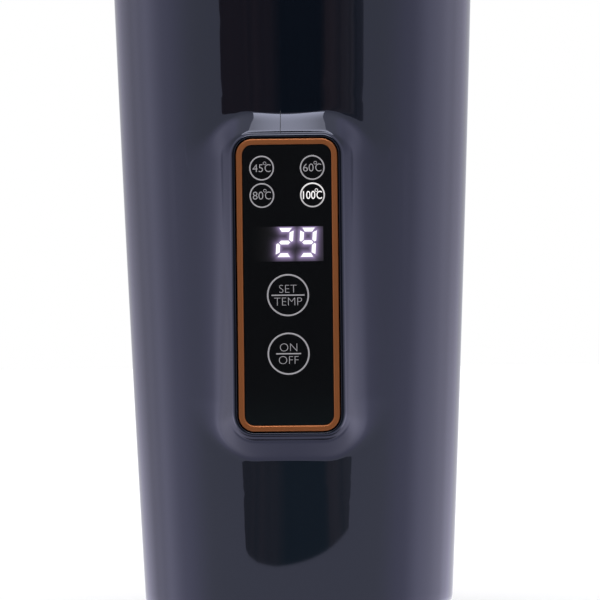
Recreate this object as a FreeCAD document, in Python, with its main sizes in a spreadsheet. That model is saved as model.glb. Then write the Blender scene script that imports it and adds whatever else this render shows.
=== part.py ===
"""Portable electric kettle: a tapered moulded cup with a touch panel, a screw lid and a mains inlet.

Millimetres. +Z is up, the origin is the middle of the footprint, the panel faces -Y and the inlet +Y.
"""
import FreeCAD
import Part
import Sketcher

import math
import os
from types import SimpleNamespace

from FreeCAD import Placement, Rotation, Vector

SIZES = {
    "Outer shell": {
        "shell_base_z": 3.0,
        "shell_top_z": 186.0,
        "shell_base_radius": 35.5,
        "shell_top_radius": 42.7,
        "shell_bow": 0.42,
        "shell_wall": 2.5,
        "shell_base_round": 3.0,
        "shell_floor": 3.0,
        "shell_floor_opening": 25.5,
    },
    "Raised panel surround": {
        "panel_middle_z": 77.75,
        "surround_face": 42.6,
        "surround_width": 27.0,
        "surround_height": 69.0,
        "surround_corner": 5.6,
        "surround_rim_round": 2.0,
        "surround_root": 30.0,
        "surround_root_width": 38.3,
        "surround_root_low": 32.9,
        "surround_root_high": 135.1,
        "surround_root_corner": 11.0,
        "surround_root_round": 3.0,
        "recess_width": 24.0,
        "recess_height": 66.4,
        "recess_corner": 4.3,
        "recess_depth": 2.4,
        "window_width": 20.4,
        "window_height": 62.0,
        "window_corner": 2.0,
        "board_pocket_width": 26.0,
        "board_pocket_height": 66.4,
        "frame_width": 26.6,
        "frame_height": 67.2,
        "frame_depth": 4.0,
    },
    "Touch panel": {
        "trim_width": 22.4,
        "trim_height": 64.6,
        "trim_corner": 3.6,
        "trim_band": 1.38,
        "trim_depth": 1.4,
        "trim_setback": 0.2,
        "trim_edge_round": 0.35,
        "lens_play": 0.1,
        "lens_setback": 0.3,
        "guide_play": 0.2,
        "board_front": 35.6,
        "board_thickness": 1.2,
        "board_play": 0.4,
        "board_corner": 2.0,
        "mark_x": 5.58,
        "mark_low_z": 97.5,
        "mark_high_z": 103.5,
        "mark_well_radius": 2.4,
        "lamp_side": 3.0,
        "lamp_depth": 1.1,
        "display_z": 86.9,
        "display_width": 17.2,
        "display_height": 9.4,
        "display_play": 0.1,
        "key_low_z": 62.6,
        "key_high_z": 75.5,
        "key_well_radius": 4.2,
        "spring_radius": 3.4,
        "spring_wire": 0.3,
        "spring_pitch": 1.1,
        "control_screw_x": 11.4,
        "control_screw_rise": 31.3,
        "control_screw_shank": 0.9,
        "control_screw_head": 1.5,
        "control_screw_head_height": 1.2,
        "control_screw_reach": 3.4,
    },
    "Cup and neck": {
        "cup_base_z": 52.0,
        "cup_base_radius": 29.6,
        "cup_mouth_z": 176.0,
        "cup_mouth_radius": 35.0,
        "cup_wall": 0.8,
        "cup_base_round": 7.0,
        "cup_rim_radius": 36.6,
        "cup_rim_z": 200.0,
        "neck_bore": 35.2,
        "neck_skirt_radius": 39.5,
        "neck_flange_radius": 42.0,
        "neck_flange_height": 1.2,
        "neck_core_radius": 37.0,
        "neck_crest_radius": 38.2,
        "seal_height": 1.0,
        "seal_inner_radius": 35.4,
        "thread_lead": 12.0,
        "thread_starts": 3,
        "thread_root_width": 2.0,
        "thread_crest_width": 0.8,
        "thread_embed": 0.3,
        "neck_thread_turns": 0.5,
        "neck_thread_rise": 2.8,
    },
    "Heater": {
        "plate_radius": 28.0,
        "plate_height": 4.0,
        "element_radius": 19.0,
        "element_tube": 3.2,
        "element_arc": 300.0,
        "element_gap": 0.05,
        "terminal_radius": 1.5,
        "terminal_low_z": 32.0,
        "cutout_radius": 7.0,
        "cutout_height": 8.0,
        "cutout_flange_radius": 9.5,
        "cutout_flange_height": 1.2,
        "sensor_radius": 2.2,
        "sensor_height": 11.0,
        "sensor_x": 12.6,
        "shield_z": 35.0,
        "shield_radius": 28.0,
        "shield_thickness": 0.8,
        "terminal_hole": 2.8,
        "stud_circle": 25.0,
        "stud_radius": 1.5,
        "stud_low_z": 31.0,
        "stud_play": 0.1,
        "spacer_radius": 2.6,
        "nut_radius": 3.18,
        "nut_height": 2.4,
    },
    "Power board": {
        "power_board_z": 11.0,
        "power_board_radius": 29.0,
        "power_board_thickness": 1.6,
        "power_board_flat_y": 14.0,
        "post_circle": 19.0,
        "post_radius": 2.8,
        "board_screw_shank": 1.25,
        "board_screw_head": 2.4,
        "board_screw_head_height": 1.6,
        "board_screw_reach": 4.4,
        "relay_x": -20.0,
        "relay_y": -14.0,
        "relay_width": 15.5,
        "relay_length": 19.0,
        "relay_height": 15.6,
        "relay_round": 0.8,
        "film_x": 6.0,
        "film_y": -11.5,
        "film_length": 13.0,
        "film_width": 6.0,
        "film_height": 11.0,
        "film_round": 1.0,
        "can_x": 12.4,
        "can_y": 1.6,
        "can_radius": 5.0,
        "can_height": 13.5,
        "can_round": 0.7,
    },
    "Base": {
        "cover_thickness": 2.5,
        "cover_radius": 31.3,
        "cover_play": 0.2,
        "foot_inner_radius": 18.5,
        "foot_outer_radius": 25.0,
        "foot_sink": 1.0,
        "foot_round": 0.9,
        "foot_play": 0.1,
        "base_screw_circle": 28.0,
        "base_screw_shank": 1.3,
        "base_screw_head": 2.3,
        "base_screw_head_height": 1.5,
        "base_screw_top_z": 10.0,
        "base_boss_radius": 3.3,
        "base_boss_top_z": 10.4,
        "screw_play": 0.05,
    },
    "Mains inlet": {
        "inlet_z": 22.05,
        "inlet_face": 38.2,
        "inlet_boss_width": 36.4,
        "inlet_boss_low": 8.3,
        "inlet_boss_high": 41.0,
        "inlet_boss_corner": 5.0,
        "inlet_root": 24.0,
        "inlet_root_width": 40.4,
        "inlet_root_low": 4.6,
        "inlet_root_high": 55.0,
        "inlet_root_corner": 9.0,
        "inlet_rim_round": 1.2,
        "inlet_root_round": 2.5,
        "flap_recess_corner": 2.9,
        "flap_recess_depth": 4.4,
        "inlet_frame_border": 1.4,
        "inlet_frame_depth": 4.0,
        "socket_width": 27.2,
        "socket_height": 19.7,
        "socket_corner": 1.5,
        "socket_play": 0.1,
        "socket_rear_y": 17.8,
        "socket_flange_width": 30.6,
        "socket_flange_height": 22.7,
        "socket_flange_corner": 2.4,
        "socket_flange_depth": 2.2,
        "socket_back_wall": 2.0,
        "cavity_width": 24.2,
        "cavity_height": 16.6,
        "cavity_chamfer": 5.0,
        "pin_width": 2.0,
        "pin_height": 4.0,
        "pin_spread": 7.0,
        "pin_drop": 2.0,
        "pin_rise": 2.4,
        "pin_tip_setback": 4.0,
        "pin_tail": 5.3,
        "pin_play": 0.1,
        "flap_width": 31.0,
        "flap_height": 23.1,
        "flap_corner": 2.6,
        "flap_thickness": 2.0,
        "flap_edge_round": 0.5,
        "flap_play": 0.3,
        "lip_width": 21.6,
        "lip_height": 8.6,
        "lip_drop": 2.6,
        "lip_corner": 2.0,
        "lip_depth": 1.6,
        "pull_width": 10.0,
        "pull_height": 2.2,
        "pull_depth": 1.4,
        "pull_drop": 8.6,
        "anchor_height": 4.6,
        "anchor_gap": 0.4,
        "anchor_peg_x": 9.0,
        "anchor_peg_radius": 1.6,
        "anchor_peg_length": 5.6,
    },
    "Wires": {
        "mains_wire_radius": 1.2,
        "mains_wire_run": 5.0,
        "harness_radius": 1.5,
        "harness_x": 6.0,
    },
    "Lid": {
        "lid_radius": 42.5,
        "lid_low_z": 188.0,
        "lid_rim_z": 217.0,
        "lid_dome": 2.0,
        "lid_edge_round": 3.0,
        "lid_bore": 40.5,
        "lid_roof_z": 205.2,
        "lid_hollow_radius": 33.0,
        "lid_hollow_z": 214.4,
        "ledge_z": 207.2,
        "crown_radius": 35.2,
        "crown_edge_round": 0.8,
        "handle_bay_sweep": 199.0,
        "thread_ring_radius": 40.4,
        "thread_ring_bore": 38.8,
        "thread_ring_low_z": 188.4,
        "thread_ring_crest": 37.5,
        "thread_ring_rise": 3.6,
        "thread_ring_turns": 0.35,
        "catch_radius": 36.9,
        "catch_low_z": 201.8,
        "catch_high_z": 202.5,
        "catch_bore": 38.0,
        "stopper_low_z": 192.0,
        "stopper_radius": 33.2,
        "stopper_wall": 2.4,
        "stopper_flange_radius": 37.6,
        "stopper_flange_z": 202.8,
        "stopper_flange_height": 2.2,
        "stopper_base_round": 1.6,
        "lid_seal_inner_radius": 33.4,
        "lid_seal_outer_radius": 36.4,
        "lid_seal_height": 1.8,
        "vent_y": -16.0,
        "vent_head_radius": 5.0,
        "vent_head_low_z": 217.0,
        "vent_head_height": 1.7,
        "vent_stem_radius": 2.5,
        "vent_catch_radius": 3.6,
        "vent_catch_low_z": 213.2,
        "vent_catch_height": 1.0,
        "vent_bore": 0.8,
        "vent_play": 0.15,
        "stopper_vent_radius": 1.5,
    },
    "Handle": {
        "handle_inner_radius": 36.0,
        "handle_low_z": 207.8,
        "handle_high_z": 217.0,
        "handle_sweep": 193.2,
        "handle_end_round": 4.5,
        "handle_outer_round": 2.6,
        "pivot_z": 212.4,
        "pivot_radius": 1.5,
        "pivot_play": 0.05,
        "pivot_root_x": 33.2,
        "pivot_head_radius": 2.6,
        "pivot_head_x": 40.9,
        "pivot_head_height": 1.2,
        "pivot_head_play": 0.2,
    },
}

doc = FreeCAD.newDocument("travel_kettle")


class Size:
    """A length with the sheet expression that it comes from, so sums of sizes stay bound to the sheet."""

    def __init__(self, value, text):
        self.value = value
        self.text = text

    def __add__(self, other):
        other = size(other)
        return Size(self.value + other.value, f"({self.text} + {other.text})")

    def __sub__(self, other):
        other = size(other)
        return Size(self.value - other.value, f"({self.text} - {other.text})")

    def __mul__(self, other):
        other = size(other)
        return Size(self.value * other.value, f"({self.text} * {other.text})")

    def __truediv__(self, other):
        other = size(other)
        return Size(self.value / other.value, f"({self.text} / {other.text})")

    def __neg__(self):
        return Size(-self.value, f"(0 - {self.text})")


def size(length):
    return length if isinstance(length, Size) else Size(length, str(length))


def fill_sheet():
    """Write every driving dimension to the sheet and hand back the sizes by name."""
    sheet = doc.addObject("Spreadsheet::Sheet", "dims")
    sizes = SimpleNamespace()
    row = 1
    for heading, entries in SIZES.items():
        sheet.set(f"A{row}", heading)
        row += 1
        for alias, value in entries.items():
            sheet.set(f"A{row}", alias.replace("_", " "))
            sheet.set(f"B{row}", str(value))
            sheet.setAlias(f"B{row}", alias)
            setattr(sizes, alias, Size(value, f"dims.{alias}"))
            row += 1
    doc.recompute()
    return sizes


d = fill_sheet()

AXIS_TURN = {
    "x": Rotation(Vector(0, 1, 0), 90),
    "y": Rotation(Vector(1, 0, 0), -90),
    "z": Rotation(),
}
FULL_TURN = 360
SKIN = 0.01


def bind(thing, **lengths):
    for name, length in lengths.items():
        thing.setExpression(name, size(length).text)


def place(thing, x=0, y=0, z=0):
    for axis, length in zip("xyz", (x, y, z)):
        thing.setExpression(f"Placement.Base.{axis}", size(length).text)


def new_body(name):
    return doc.addObject("PartDesign::Body", name)


def origin_feature(body, role):
    return next(item for item in body.Origin.OriginFeatures if item.Role == role)


def new_sketch(body, role, offset=0):
    sketch = body.newObject("Sketcher::SketchObject", f"{body.Name}_sketch")
    sketch.AttachmentSupport = (origin_feature(body, role), [""])
    sketch.MapMode = "FlatFace"
    sketch.setExpression("AttachmentOffset.Base.z", size(offset).text)
    return sketch


def upright_sketch(body, y):
    """A sketch facing -Y at the given y: its x is X and its y is Z."""
    return new_sketch(body, "XZ_Plane", -size(y))


def fix(sketch, kind, *reference, length):
    length = size(length)
    index = sketch.addConstraint(Sketcher.Constraint(kind, *reference, length.value))
    sketch.setExpression(f"Constraints[{index}]", length.text)


def trace(sketch, corners, arcs=None):
    """Close an anticlockwise outline. arcs gives a side's radius: above 0 bulges out, below 0 bulges in."""
    arcs = arcs or {}
    points = [Vector(size(x).value, size(y).value, 0) for x, y in corners]
    ends = []
    for index, start in enumerate(points):
        finish = points[(index + 1) % len(points)]
        if index not in arcs:
            side = sketch.addGeometry(Part.LineSegment(start, finish), False)
            ends.append((side, 1, 2))
            continue
        radius = size(arcs[index])
        chord = finish - start
        outward = Vector(chord.y, -chord.x, 0).normalize()
        half = chord.Length / 2
        rise = abs(radius.value) - math.sqrt(max(radius.value ** 2 - half ** 2, 0))
        bulge = math.copysign(rise, radius.value)
        middle = (start + finish) * 0.5 + outward * bulge
        side = sketch.addGeometry(Part.Arc(start, middle, finish), False)
        ends.append((side, 1, 2) if radius.value > 0 else (side, 2, 1))
        fix(sketch, "Radius", side, length=radius if radius.value > 0 else -radius)
    for index, (side, _, finish) in enumerate(ends):
        next_side, next_start, _ = ends[(index + 1) % len(ends)]
        sketch.addConstraint(Sketcher.Constraint("Coincident", side, finish, next_side, next_start))
    for (side, start, _), (x, y) in zip(ends, corners):
        fix(sketch, "DistanceX", -1, 1, side, start, length=x)
        fix(sketch, "DistanceY", -1, 1, side, start, length=y)


def trace_circle(sketch, radius, x=0, y=0):
    radius = size(radius)
    middle = Vector(size(x).value, size(y).value, 0)
    circle = sketch.addGeometry(Part.Circle(middle, Vector(0, 0, 1), radius.value), False)
    fix(sketch, "Radius", circle, length=radius)
    fix(sketch, "DistanceX", -1, 1, circle, 3, length=x)
    fix(sketch, "DistanceY", -1, 1, circle, 3, length=y)


def trace_rectangle(sketch, width, low, high, middle_x=0):
    left = size(middle_x) - size(width) / 2
    right = size(middle_x) + size(width) / 2
    trace(sketch, [(left, low), (right, low), (right, high), (left, high)])


def trace_rounded(sketch, width, low, high, corner):
    """A rectangle about the sketch's upright axis with four round corners."""
    side = size(width) / 2
    corners = [
        (-side + corner, low), (side - corner, low),
        (side, low + corner), (side, high - corner),
        (side - corner, high), (-side + corner, high),
        (-side, high - corner), (-side, low + corner),
    ]
    trace(sketch, corners, {1: corner, 3: corner, 5: corner, 7: corner})


def trace_half_rounded(sketch, width, square_z, round_z, corner):
    """A rectangle with square corners at one height and round ones at the other."""
    side = size(width) / 2
    if round_z.value > square_z.value:
        corners = [(-side, square_z), (side, square_z), (side, round_z - corner), (side - corner, round_z),
                   (-side + corner, round_z), (-side, round_z - corner)]
    else:
        corners = [(side, square_z), (-side, square_z), (-side, round_z + corner), (-side + corner, round_z),
                   (side - corner, round_z), (side, round_z + corner)]
    trace(sketch, corners, {2: corner, 4: corner})


def trace_centred(sketch, width, height, corner, middle):
    trace_rounded(sketch, width, middle - height / 2, middle + height / 2, corner)


def feature(body, kind, lengths=None, **settings):
    """Add one feature to a body, with its bound lengths, and make sure that it built."""
    made = body.newObject(f"PartDesign::{kind}", f"{body.Name}_{kind}")
    for name, value in settings.items():
        setattr(made, name, value)
    bind(made, **(lengths or {}))
    body.Tip = made
    doc.recompute()
    if "Invalid" in made.State or not made.Shape.isValid():
        raise RuntimeError(f"{made.Name} failed to build")
    return made


def cutting_feature(body, kind, lengths, **settings):
    """A feature that takes material away: one that misses the body is an error."""
    before = body.Shape.Volume
    made = feature(body, kind, lengths, **settings)
    if body.Shape.Volume >= before:
        raise RuntimeError(f"{made.Name} cuts nothing")
    return made


def turn(body, sketch, angle=FULL_TURN, midplane=False):
    """Turn a sketch about its own upright axis."""
    return feature(body, "Revolution", {"Angle": angle}, Profile=sketch,
                   ReferenceAxis=(sketch, ["V_Axis"]), Midplane=midplane)


def groove(body, sketch, angle=FULL_TURN, midplane=False):
    return cutting_feature(body, "Groove", {"Angle": angle}, Profile=sketch,
                           ReferenceAxis=(sketch, ["V_Axis"]), Midplane=midplane)


def turned_body(name, corners, arcs=None):
    body = new_body(name)
    sketch = new_sketch(body, "XZ_Plane")
    trace(sketch, corners, arcs)
    turn(body, sketch)
    return body


def pad(body, sketch, length):
    return feature(body, "Pad", {"Length": length}, Profile=sketch)


def pocket(body, sketch, length, reverse=False):
    return cutting_feature(body, "Pocket", {"Length": length}, Profile=sketch, Reversed=reverse)


def loft(body, sketch, far_sketch):
    return feature(body, "AdditiveLoft", Profile=sketch, Sections=[far_sketch], Ruled=True)


def repeat_round(body, made, count):
    """Repeat a feature evenly about the Z axis."""
    return feature(body, "PolarPattern", {"Occurrences": count}, Originals=[made],
                   Axis=(origin_feature(body, "Z_Axis"), [""]), Angle=FULL_TURN)


def round_edges(body, radius, chosen):
    """Round the edges of the body for which chosen is true."""
    edges = body.Tip.Shape.Edges
    names = [f"Edge{number}" for number, edge in enumerate(edges, 1) if chosen(edge)]
    if not names:
        raise RuntimeError(f"{body.Name}: no edge to round")
    return feature(body, "Fillet", {"Radius": radius}, Base=(body.Tip, names))


def near(value, length):
    return abs(value - size(length).value) < SKIN


def level_at(edge, z):
    return near(edge.BoundBox.ZMin, z) and near(edge.BoundBox.ZMax, z)


def upright_at(edge, y):
    return near(edge.BoundBox.YMin, y) and near(edge.BoundBox.YMax, y)


def ring_at(edge, radius, z):
    """True for an arc about the Z axis with this radius at this height."""
    if not level_at(edge, z) or not isinstance(edge.Curve, Part.Circle):
        return False
    return near(edge.Curve.Radius, radius) and near(math.hypot(*edge.Curve.Center[:2]), 0)


def box(name, low, sides):
    made = doc.addObject("Part::Box", name)
    bind(made, Length=sides[0], Width=sides[1], Height=sides[2])
    place(made, *low)
    return made


def cylinder(name, radius, length, foot, along="z"):
    made = doc.addObject("Part::Cylinder", name)
    made.Placement = Placement(Vector(), AXIS_TURN[along])
    bind(made, Radius=radius, Height=length)
    place(made, *foot)
    return made


def fuse(name, shapes):
    made = doc.addObject("Part::MultiFuse", name)
    made.Shapes = shapes
    return made


def cut(name, base, tools):
    made = doc.addObject("Part::Cut", name)
    made.Base = base
    made.Tool = tools[0] if len(tools) == 1 else fuse(f"{name}_tools", tools)
    return made


def group(name, members):
    made = doc.addObject("Part::Compound", name)
    made.Links = members
    return made


def around(count, circle, first_angle):
    """Places evenly spaced on a circle about the Z axis, as bound sizes."""
    step = FULL_TURN / count
    for number in range(count):
        angle = first_angle + step * number
        yield circle * math.cos(math.radians(angle)), circle * math.sin(math.radians(angle))


def screw(name, shank, head, head_height, shoulder, reach, along, points_up):
    """A screw whose head rests on the shoulder; the shank points up or down its axis."""
    axis = "xyz".index(along)
    tip = list(shoulder)
    top = list(shoulder)
    if points_up:
        top[axis] = top[axis] - head_height
    else:
        tip[axis] = tip[axis] - reach
    stem = cylinder(f"{name}_shank", shank, reach, tip, along)
    cap = cylinder(f"{name}_head", head, head_height, top, along)
    return fuse(name, [stem, cap])


def tube(name, points, radius):
    """A round wire along straight runs joined by arcs as large as the runs allow."""
    share = 0.45
    volume_slack = 0.02
    corners = [Vector(*(size(value).value for value in point)) for point in points]
    edges = []
    start = corners[0]
    for before, corner, after in zip(corners, corners[1:], corners[2:]):
        back = (before - corner).normalize()
        ahead = (after - corner).normalize()
        turn_angle = math.pi - back.getAngle(ahead)
        reach = share * min((before - corner).Length, (after - corner).Length)
        bend = reach / math.tan(turn_angle / 2)
        inward = (back + ahead).normalize()
        middle = corner + inward * (bend / math.cos(turn_angle / 2) - bend)
        edges.append(Part.LineSegment(start, corner + back * reach).toShape())
        edges.append(Part.Arc(corner + back * reach, middle, corner + ahead * reach).toShape())
        start = corner + ahead * reach
    edges.append(Part.LineSegment(start, corners[-1]).toShape())
    path = Part.Wire(edges)
    section = Part.Wire(Part.makeCircle(size(radius).value, corners[0], corners[1] - corners[0]))
    made = doc.addObject("Part::Feature", name)
    made.Shape = path.makePipeShell([section], True, False)
    expected = math.pi * size(radius).value ** 2 * path.Length
    if abs(made.Shape.Volume - expected) > volume_slack * expected:
        raise RuntimeError(f"{name}: the wire's volume is off")
    return made


# Heights and depths that follow from the driving dimensions
cover_top = d.shell_base_z + d.cover_thickness
floor_top = cover_top + d.shell_floor
recess_floor = -(d.surround_face - d.recess_depth)
board_back = -(d.board_front - d.board_thickness)
flap_floor = d.inlet_face - d.flap_recess_depth
flap_back = flap_floor + d.socket_flange_depth
flap_front = flap_back + d.flap_thickness
flap_top = d.inlet_z + d.flap_height / 2
flap_low = d.inlet_z - d.flap_height / 2
anchor_low = flap_top + d.anchor_gap
anchor_top = anchor_low + d.anchor_height
rim_top = d.cup_rim_z + d.cup_wall
neck_top = d.cup_rim_z - d.seal_height
neck_shelf = d.shell_top_z + d.neck_flange_height
board_top = d.power_board_z + d.power_board_thickness
plate_low = d.cup_base_z - d.plate_height
shield_top = d.shield_z + d.shield_thickness


def bow_radius(run, rise, bow):
    """The radius of an arc whose chord has this run and rise and which bulges by bow."""
    return (run * run + rise * rise) / (bow * 8) + bow / 2


def outer_shell():
    """The tapered moulding with the raised panel surround in front and the inlet boss behind."""
    body = new_body("outer_shell")
    taper = d.shell_top_radius - d.shell_base_radius
    side = bow_radius(taper, d.shell_top_z - d.shell_base_z, d.shell_bow)
    outside = new_sketch(body, "XZ_Plane")
    trace(outside, [(0, d.shell_base_z), (d.shell_base_radius, d.shell_base_z),
                    (d.shell_top_radius, d.shell_top_z), (0, d.shell_top_z)], {1: side})
    turn(body, outside)
    round_edges(body, d.shell_base_round, lambda edge: ring_at(edge, d.shell_base_radius, d.shell_base_z))

    face = upright_sketch(body, -d.surround_face)
    trace_centred(face, d.surround_width, d.surround_height, d.surround_corner, d.panel_middle_z)
    root = upright_sketch(body, -d.surround_root)
    trace_rounded(root, d.surround_root_width, d.surround_root_low, d.surround_root_high,
                  d.surround_root_corner)
    loft(body, face, root)
    round_edges(body, d.surround_root_round, meets_wall_in_front)
    round_edges(body, d.surround_rim_round, lambda edge: upright_at(edge, -d.surround_face))

    inlet_face = upright_sketch(body, d.inlet_face)
    trace_rounded(inlet_face, d.inlet_boss_width, d.inlet_boss_low, d.inlet_boss_high, d.inlet_boss_corner)
    inlet_root = upright_sketch(body, d.inlet_root)
    trace_rounded(inlet_root, d.inlet_root_width, d.inlet_root_low, d.inlet_root_high, d.inlet_root_corner)
    loft(body, inlet_face, inlet_root)
    round_edges(body, d.inlet_root_round, meets_wall_behind)
    round_edges(body, d.inlet_rim_round, lambda edge: upright_at(edge, d.inlet_face))

    inner_base = d.shell_base_radius - d.shell_wall
    inner_top = d.shell_top_radius - d.shell_wall
    hollow = new_sketch(body, "XZ_Plane")
    trace(hollow, [(0, floor_top), (inner_base, floor_top), (inner_top, d.shell_top_z), (0, d.shell_top_z)])
    groove(body, hollow)
    cover_recess = d.cover_radius + d.cover_play
    underside = new_sketch(body, "XZ_Plane")
    trace(underside, [(0, d.shell_base_z), (cover_recess, d.shell_base_z), (cover_recess, cover_top),
                      (d.shell_floor_opening, cover_top), (d.shell_floor_opening, floor_top),
                      (0, floor_top)])
    groove(body, underside)

    cut_panel_opening(body)
    cut_inlet_opening(body)
    add_base_bosses(body)
    return body


def meets_wall_in_front(edge):
    """Edges where the panel surround runs into the round wall."""
    box_of_edge = edge.BoundBox
    return box_of_edge.YMax < -d.surround_root.value and box_of_edge.YMin > -d.surround_face.value + SKIN


def meets_wall_behind(edge):
    """Edges where the inlet boss runs into the round wall."""
    box_of_edge = edge.BoundBox
    return box_of_edge.YMin > d.inlet_root.value and box_of_edge.YMax < d.inlet_face.value - SKIN


def cut_panel_opening(body):
    """The flat frame behind the panel, the recess for trim and window, and the way through."""
    frame = upright_sketch(body, -d.board_front)
    trace_centred(frame, d.frame_width, d.frame_height, d.recess_corner, d.panel_middle_z)
    pad(body, frame, d.frame_depth)
    recess = upright_sketch(body, -d.surround_face)
    trace_centred(recess, d.recess_width, d.recess_height, d.recess_corner, d.panel_middle_z)
    pocket(body, recess, d.recess_depth)
    window = upright_sketch(body, recess_floor)
    trace_centred(window, d.window_width, d.window_height, d.window_corner, d.panel_middle_z)
    pocket(body, window, d.surround_face - d.board_front)
    board = upright_sketch(body, -d.board_front)
    trace_centred(board, d.board_pocket_width, d.board_pocket_height, d.board_corner, d.panel_middle_z)
    pocket(body, board, d.board_front - d.surround_root)
    holes = upright_sketch(body, -d.board_front)
    for x, z in control_screw_places():
        trace_circle(holes, d.control_screw_shank + d.screw_play, x, z)
    pocket(body, holes, d.control_screw_reach, reverse=True)


def cut_inlet_opening(body):
    """The flat frame behind the inlet, the recess for flange and flap, and the way through."""
    recess_width = d.flap_width + d.flap_play * 2
    recess_low = flap_low - d.flap_play
    recess_top = anchor_top + d.flap_play
    border = d.inlet_frame_border
    frame = upright_sketch(body, flap_floor)
    trace_rounded(frame, recess_width + border * 2, recess_low - border, recess_top + border,
                  d.inlet_boss_corner)
    pad(body, frame, d.inlet_frame_depth)
    recess = upright_sketch(body, d.inlet_face)
    trace_rounded(recess, recess_width, recess_low, recess_top, d.flap_recess_corner)
    pocket(body, recess, d.flap_recess_depth, reverse=True)
    opening = upright_sketch(body, flap_floor)
    trace_centred(opening, d.socket_width + d.socket_play * 2, d.socket_height + d.socket_play * 2,
                  d.socket_corner, d.inlet_z)
    pocket(body, opening, d.inlet_frame_depth + d.shell_wall, reverse=True)
    pegs = upright_sketch(body, flap_floor)
    trace_pegs(pegs, d.anchor_peg_radius + d.screw_play)
    pocket(body, pegs, d.inlet_frame_depth + d.shell_wall, reverse=True)


def trace_pegs(sketch, radius):
    """The two round pegs that hold the flap's anchor."""
    for x in (-d.anchor_peg_x, d.anchor_peg_x):
        trace_circle(sketch, radius, x, anchor_low + d.anchor_height / 2)


def add_base_bosses(body):
    """Three low bosses on the shell's floor that take the base screws from below."""
    boss = new_sketch(body, "XY_Plane", floor_top)
    trace_circle(boss, d.base_boss_radius, 0, d.base_screw_circle)
    repeat_round(body, pad(body, boss, d.base_boss_top_z - floor_top), 3)
    pilot = new_sketch(body, "XY_Plane", d.base_boss_top_z)
    trace_circle(pilot, d.base_screw_shank + d.screw_play, 0, d.base_screw_circle)
    repeat_round(body, pocket(body, pilot, d.base_boss_top_z - cover_top), 3)


def panel_trim():
    """The copper-coloured frame that stands round the window."""
    body = new_body("panel_trim")
    front = -(d.surround_face - d.trim_setback)
    ring = upright_sketch(body, front + d.trim_depth)
    trace_centred(ring, d.trim_width, d.trim_height, d.trim_corner, d.panel_middle_z)
    trace_centred(ring, d.trim_width - d.trim_band * 2, d.trim_height - d.trim_band * 2,
                  d.trim_corner - d.trim_band, d.panel_middle_z)
    pad(body, ring, d.trim_depth)
    round_edges(body, d.trim_edge_round, lambda edge: upright_at(edge, front))
    return body


def panel_lens():
    """The black window, with a thin flange behind the trim."""
    body = new_body("panel_lens")
    step = d.trim_band + d.lens_play
    trim_back = -(d.surround_face - d.trim_setback) + d.trim_depth
    front = -(d.surround_face - d.lens_setback)
    flange = upright_sketch(body, recess_floor)
    trace_centred(flange, d.trim_width - d.lens_play * 2, d.trim_height - d.lens_play * 2,
                  d.trim_corner - d.lens_play, d.panel_middle_z)
    pad(body, flange, recess_floor - trim_back)
    plate = upright_sketch(body, trim_back)
    trace_centred(plate, d.trim_width - step * 2, d.trim_height - step * 2, d.trim_corner - step,
                  d.panel_middle_z)
    pad(body, plate, trim_back - front)
    return body


def mark_places():
    return [(x, z) for x in (-d.mark_x, d.mark_x) for z in (d.mark_low_z, d.mark_high_z)]


def control_screw_places():
    rises = (d.panel_middle_z - d.control_screw_rise, d.panel_middle_z + d.control_screw_rise)
    return [(x, z) for x in (-d.control_screw_x, d.control_screw_x) for z in rises]


def light_guide():
    """The black block behind the window, with wells for the display, the lamps and the key springs."""
    body = new_body("light_guide")
    block = upright_sketch(body, -d.board_front)
    trace_centred(block, d.window_width - d.guide_play * 2, d.window_height - d.guide_play * 2,
                  d.window_corner - d.guide_play, d.panel_middle_z)
    depth = d.surround_face - d.recess_depth - d.board_front
    pad(body, block, depth)
    wells = upright_sketch(body, recess_floor)
    trace_rectangle(wells, d.display_width + d.display_play * 2,
                    d.display_z - d.display_height / 2 - d.display_play,
                    d.display_z + d.display_height / 2 + d.display_play)
    for x, z in mark_places():
        trace_circle(wells, d.mark_well_radius, x, z)
    for z in (d.key_low_z, d.key_high_z):
        trace_circle(wells, d.key_well_radius, 0, z)
    pocket(body, wells, depth)
    return body


def display_module():
    low = (-d.display_width / 2, recess_floor + d.display_play, d.display_z - d.display_height / 2)
    depth = d.surround_face - d.recess_depth - d.display_play - d.board_front
    return box("display_module", low, (d.display_width, depth, d.display_height))


def indicator_leds():
    lamps = []
    for x, z in mark_places():
        low = (x - d.lamp_side / 2, -d.board_front - d.lamp_depth, z - d.lamp_side / 2)
        lamps.append(box("lamp", low, (d.lamp_side, d.lamp_depth, d.lamp_side)))
    return group("indicator_leds", lamps)


def touch_springs():
    """One coil spring behind each touch key, from the board to just short of the window."""
    length = d.surround_face - d.recess_depth - d.board_front - d.spring_wire * 4
    springs = []
    for z in (d.key_low_z, d.key_high_z):
        coil = doc.addObject("Part::Helix", "coil")
        bind(coil, Pitch=d.spring_pitch, Height=length, Radius=d.spring_radius)
        wire = doc.addObject("Part::Circle", "coil_wire")
        wire.Placement = Placement(Vector(), Rotation(Vector(1, 0, 0), 90))
        bind(wire, Radius=d.spring_wire)
        place(wire, x=d.spring_radius)
        spring = doc.addObject("Part::Sweep", "touch_spring")
        spring.Sections = [wire]
        spring.Spine = (coil, ["Edge1"])
        spring.Solid = True
        spring.Frenet = True
        spring.Placement = Placement(Vector(), Rotation(Vector(1, 0, 0), 90))
        place(spring, y=-d.board_front - d.spring_wire * 2, z=z)
        springs.append(spring)
    return group("touch_springs", springs)


def control_board():
    body = new_body("control_board")
    board = upright_sketch(body, board_back)
    trace_centred(board, d.board_pocket_width - d.board_play * 2, d.board_pocket_height - d.board_play * 2,
                  d.board_corner - d.board_play, d.panel_middle_z)
    for x, z in control_screw_places():
        trace_circle(board, d.control_screw_shank + d.screw_play, x, z)
    pad(body, board, d.board_thickness)
    return body


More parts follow.
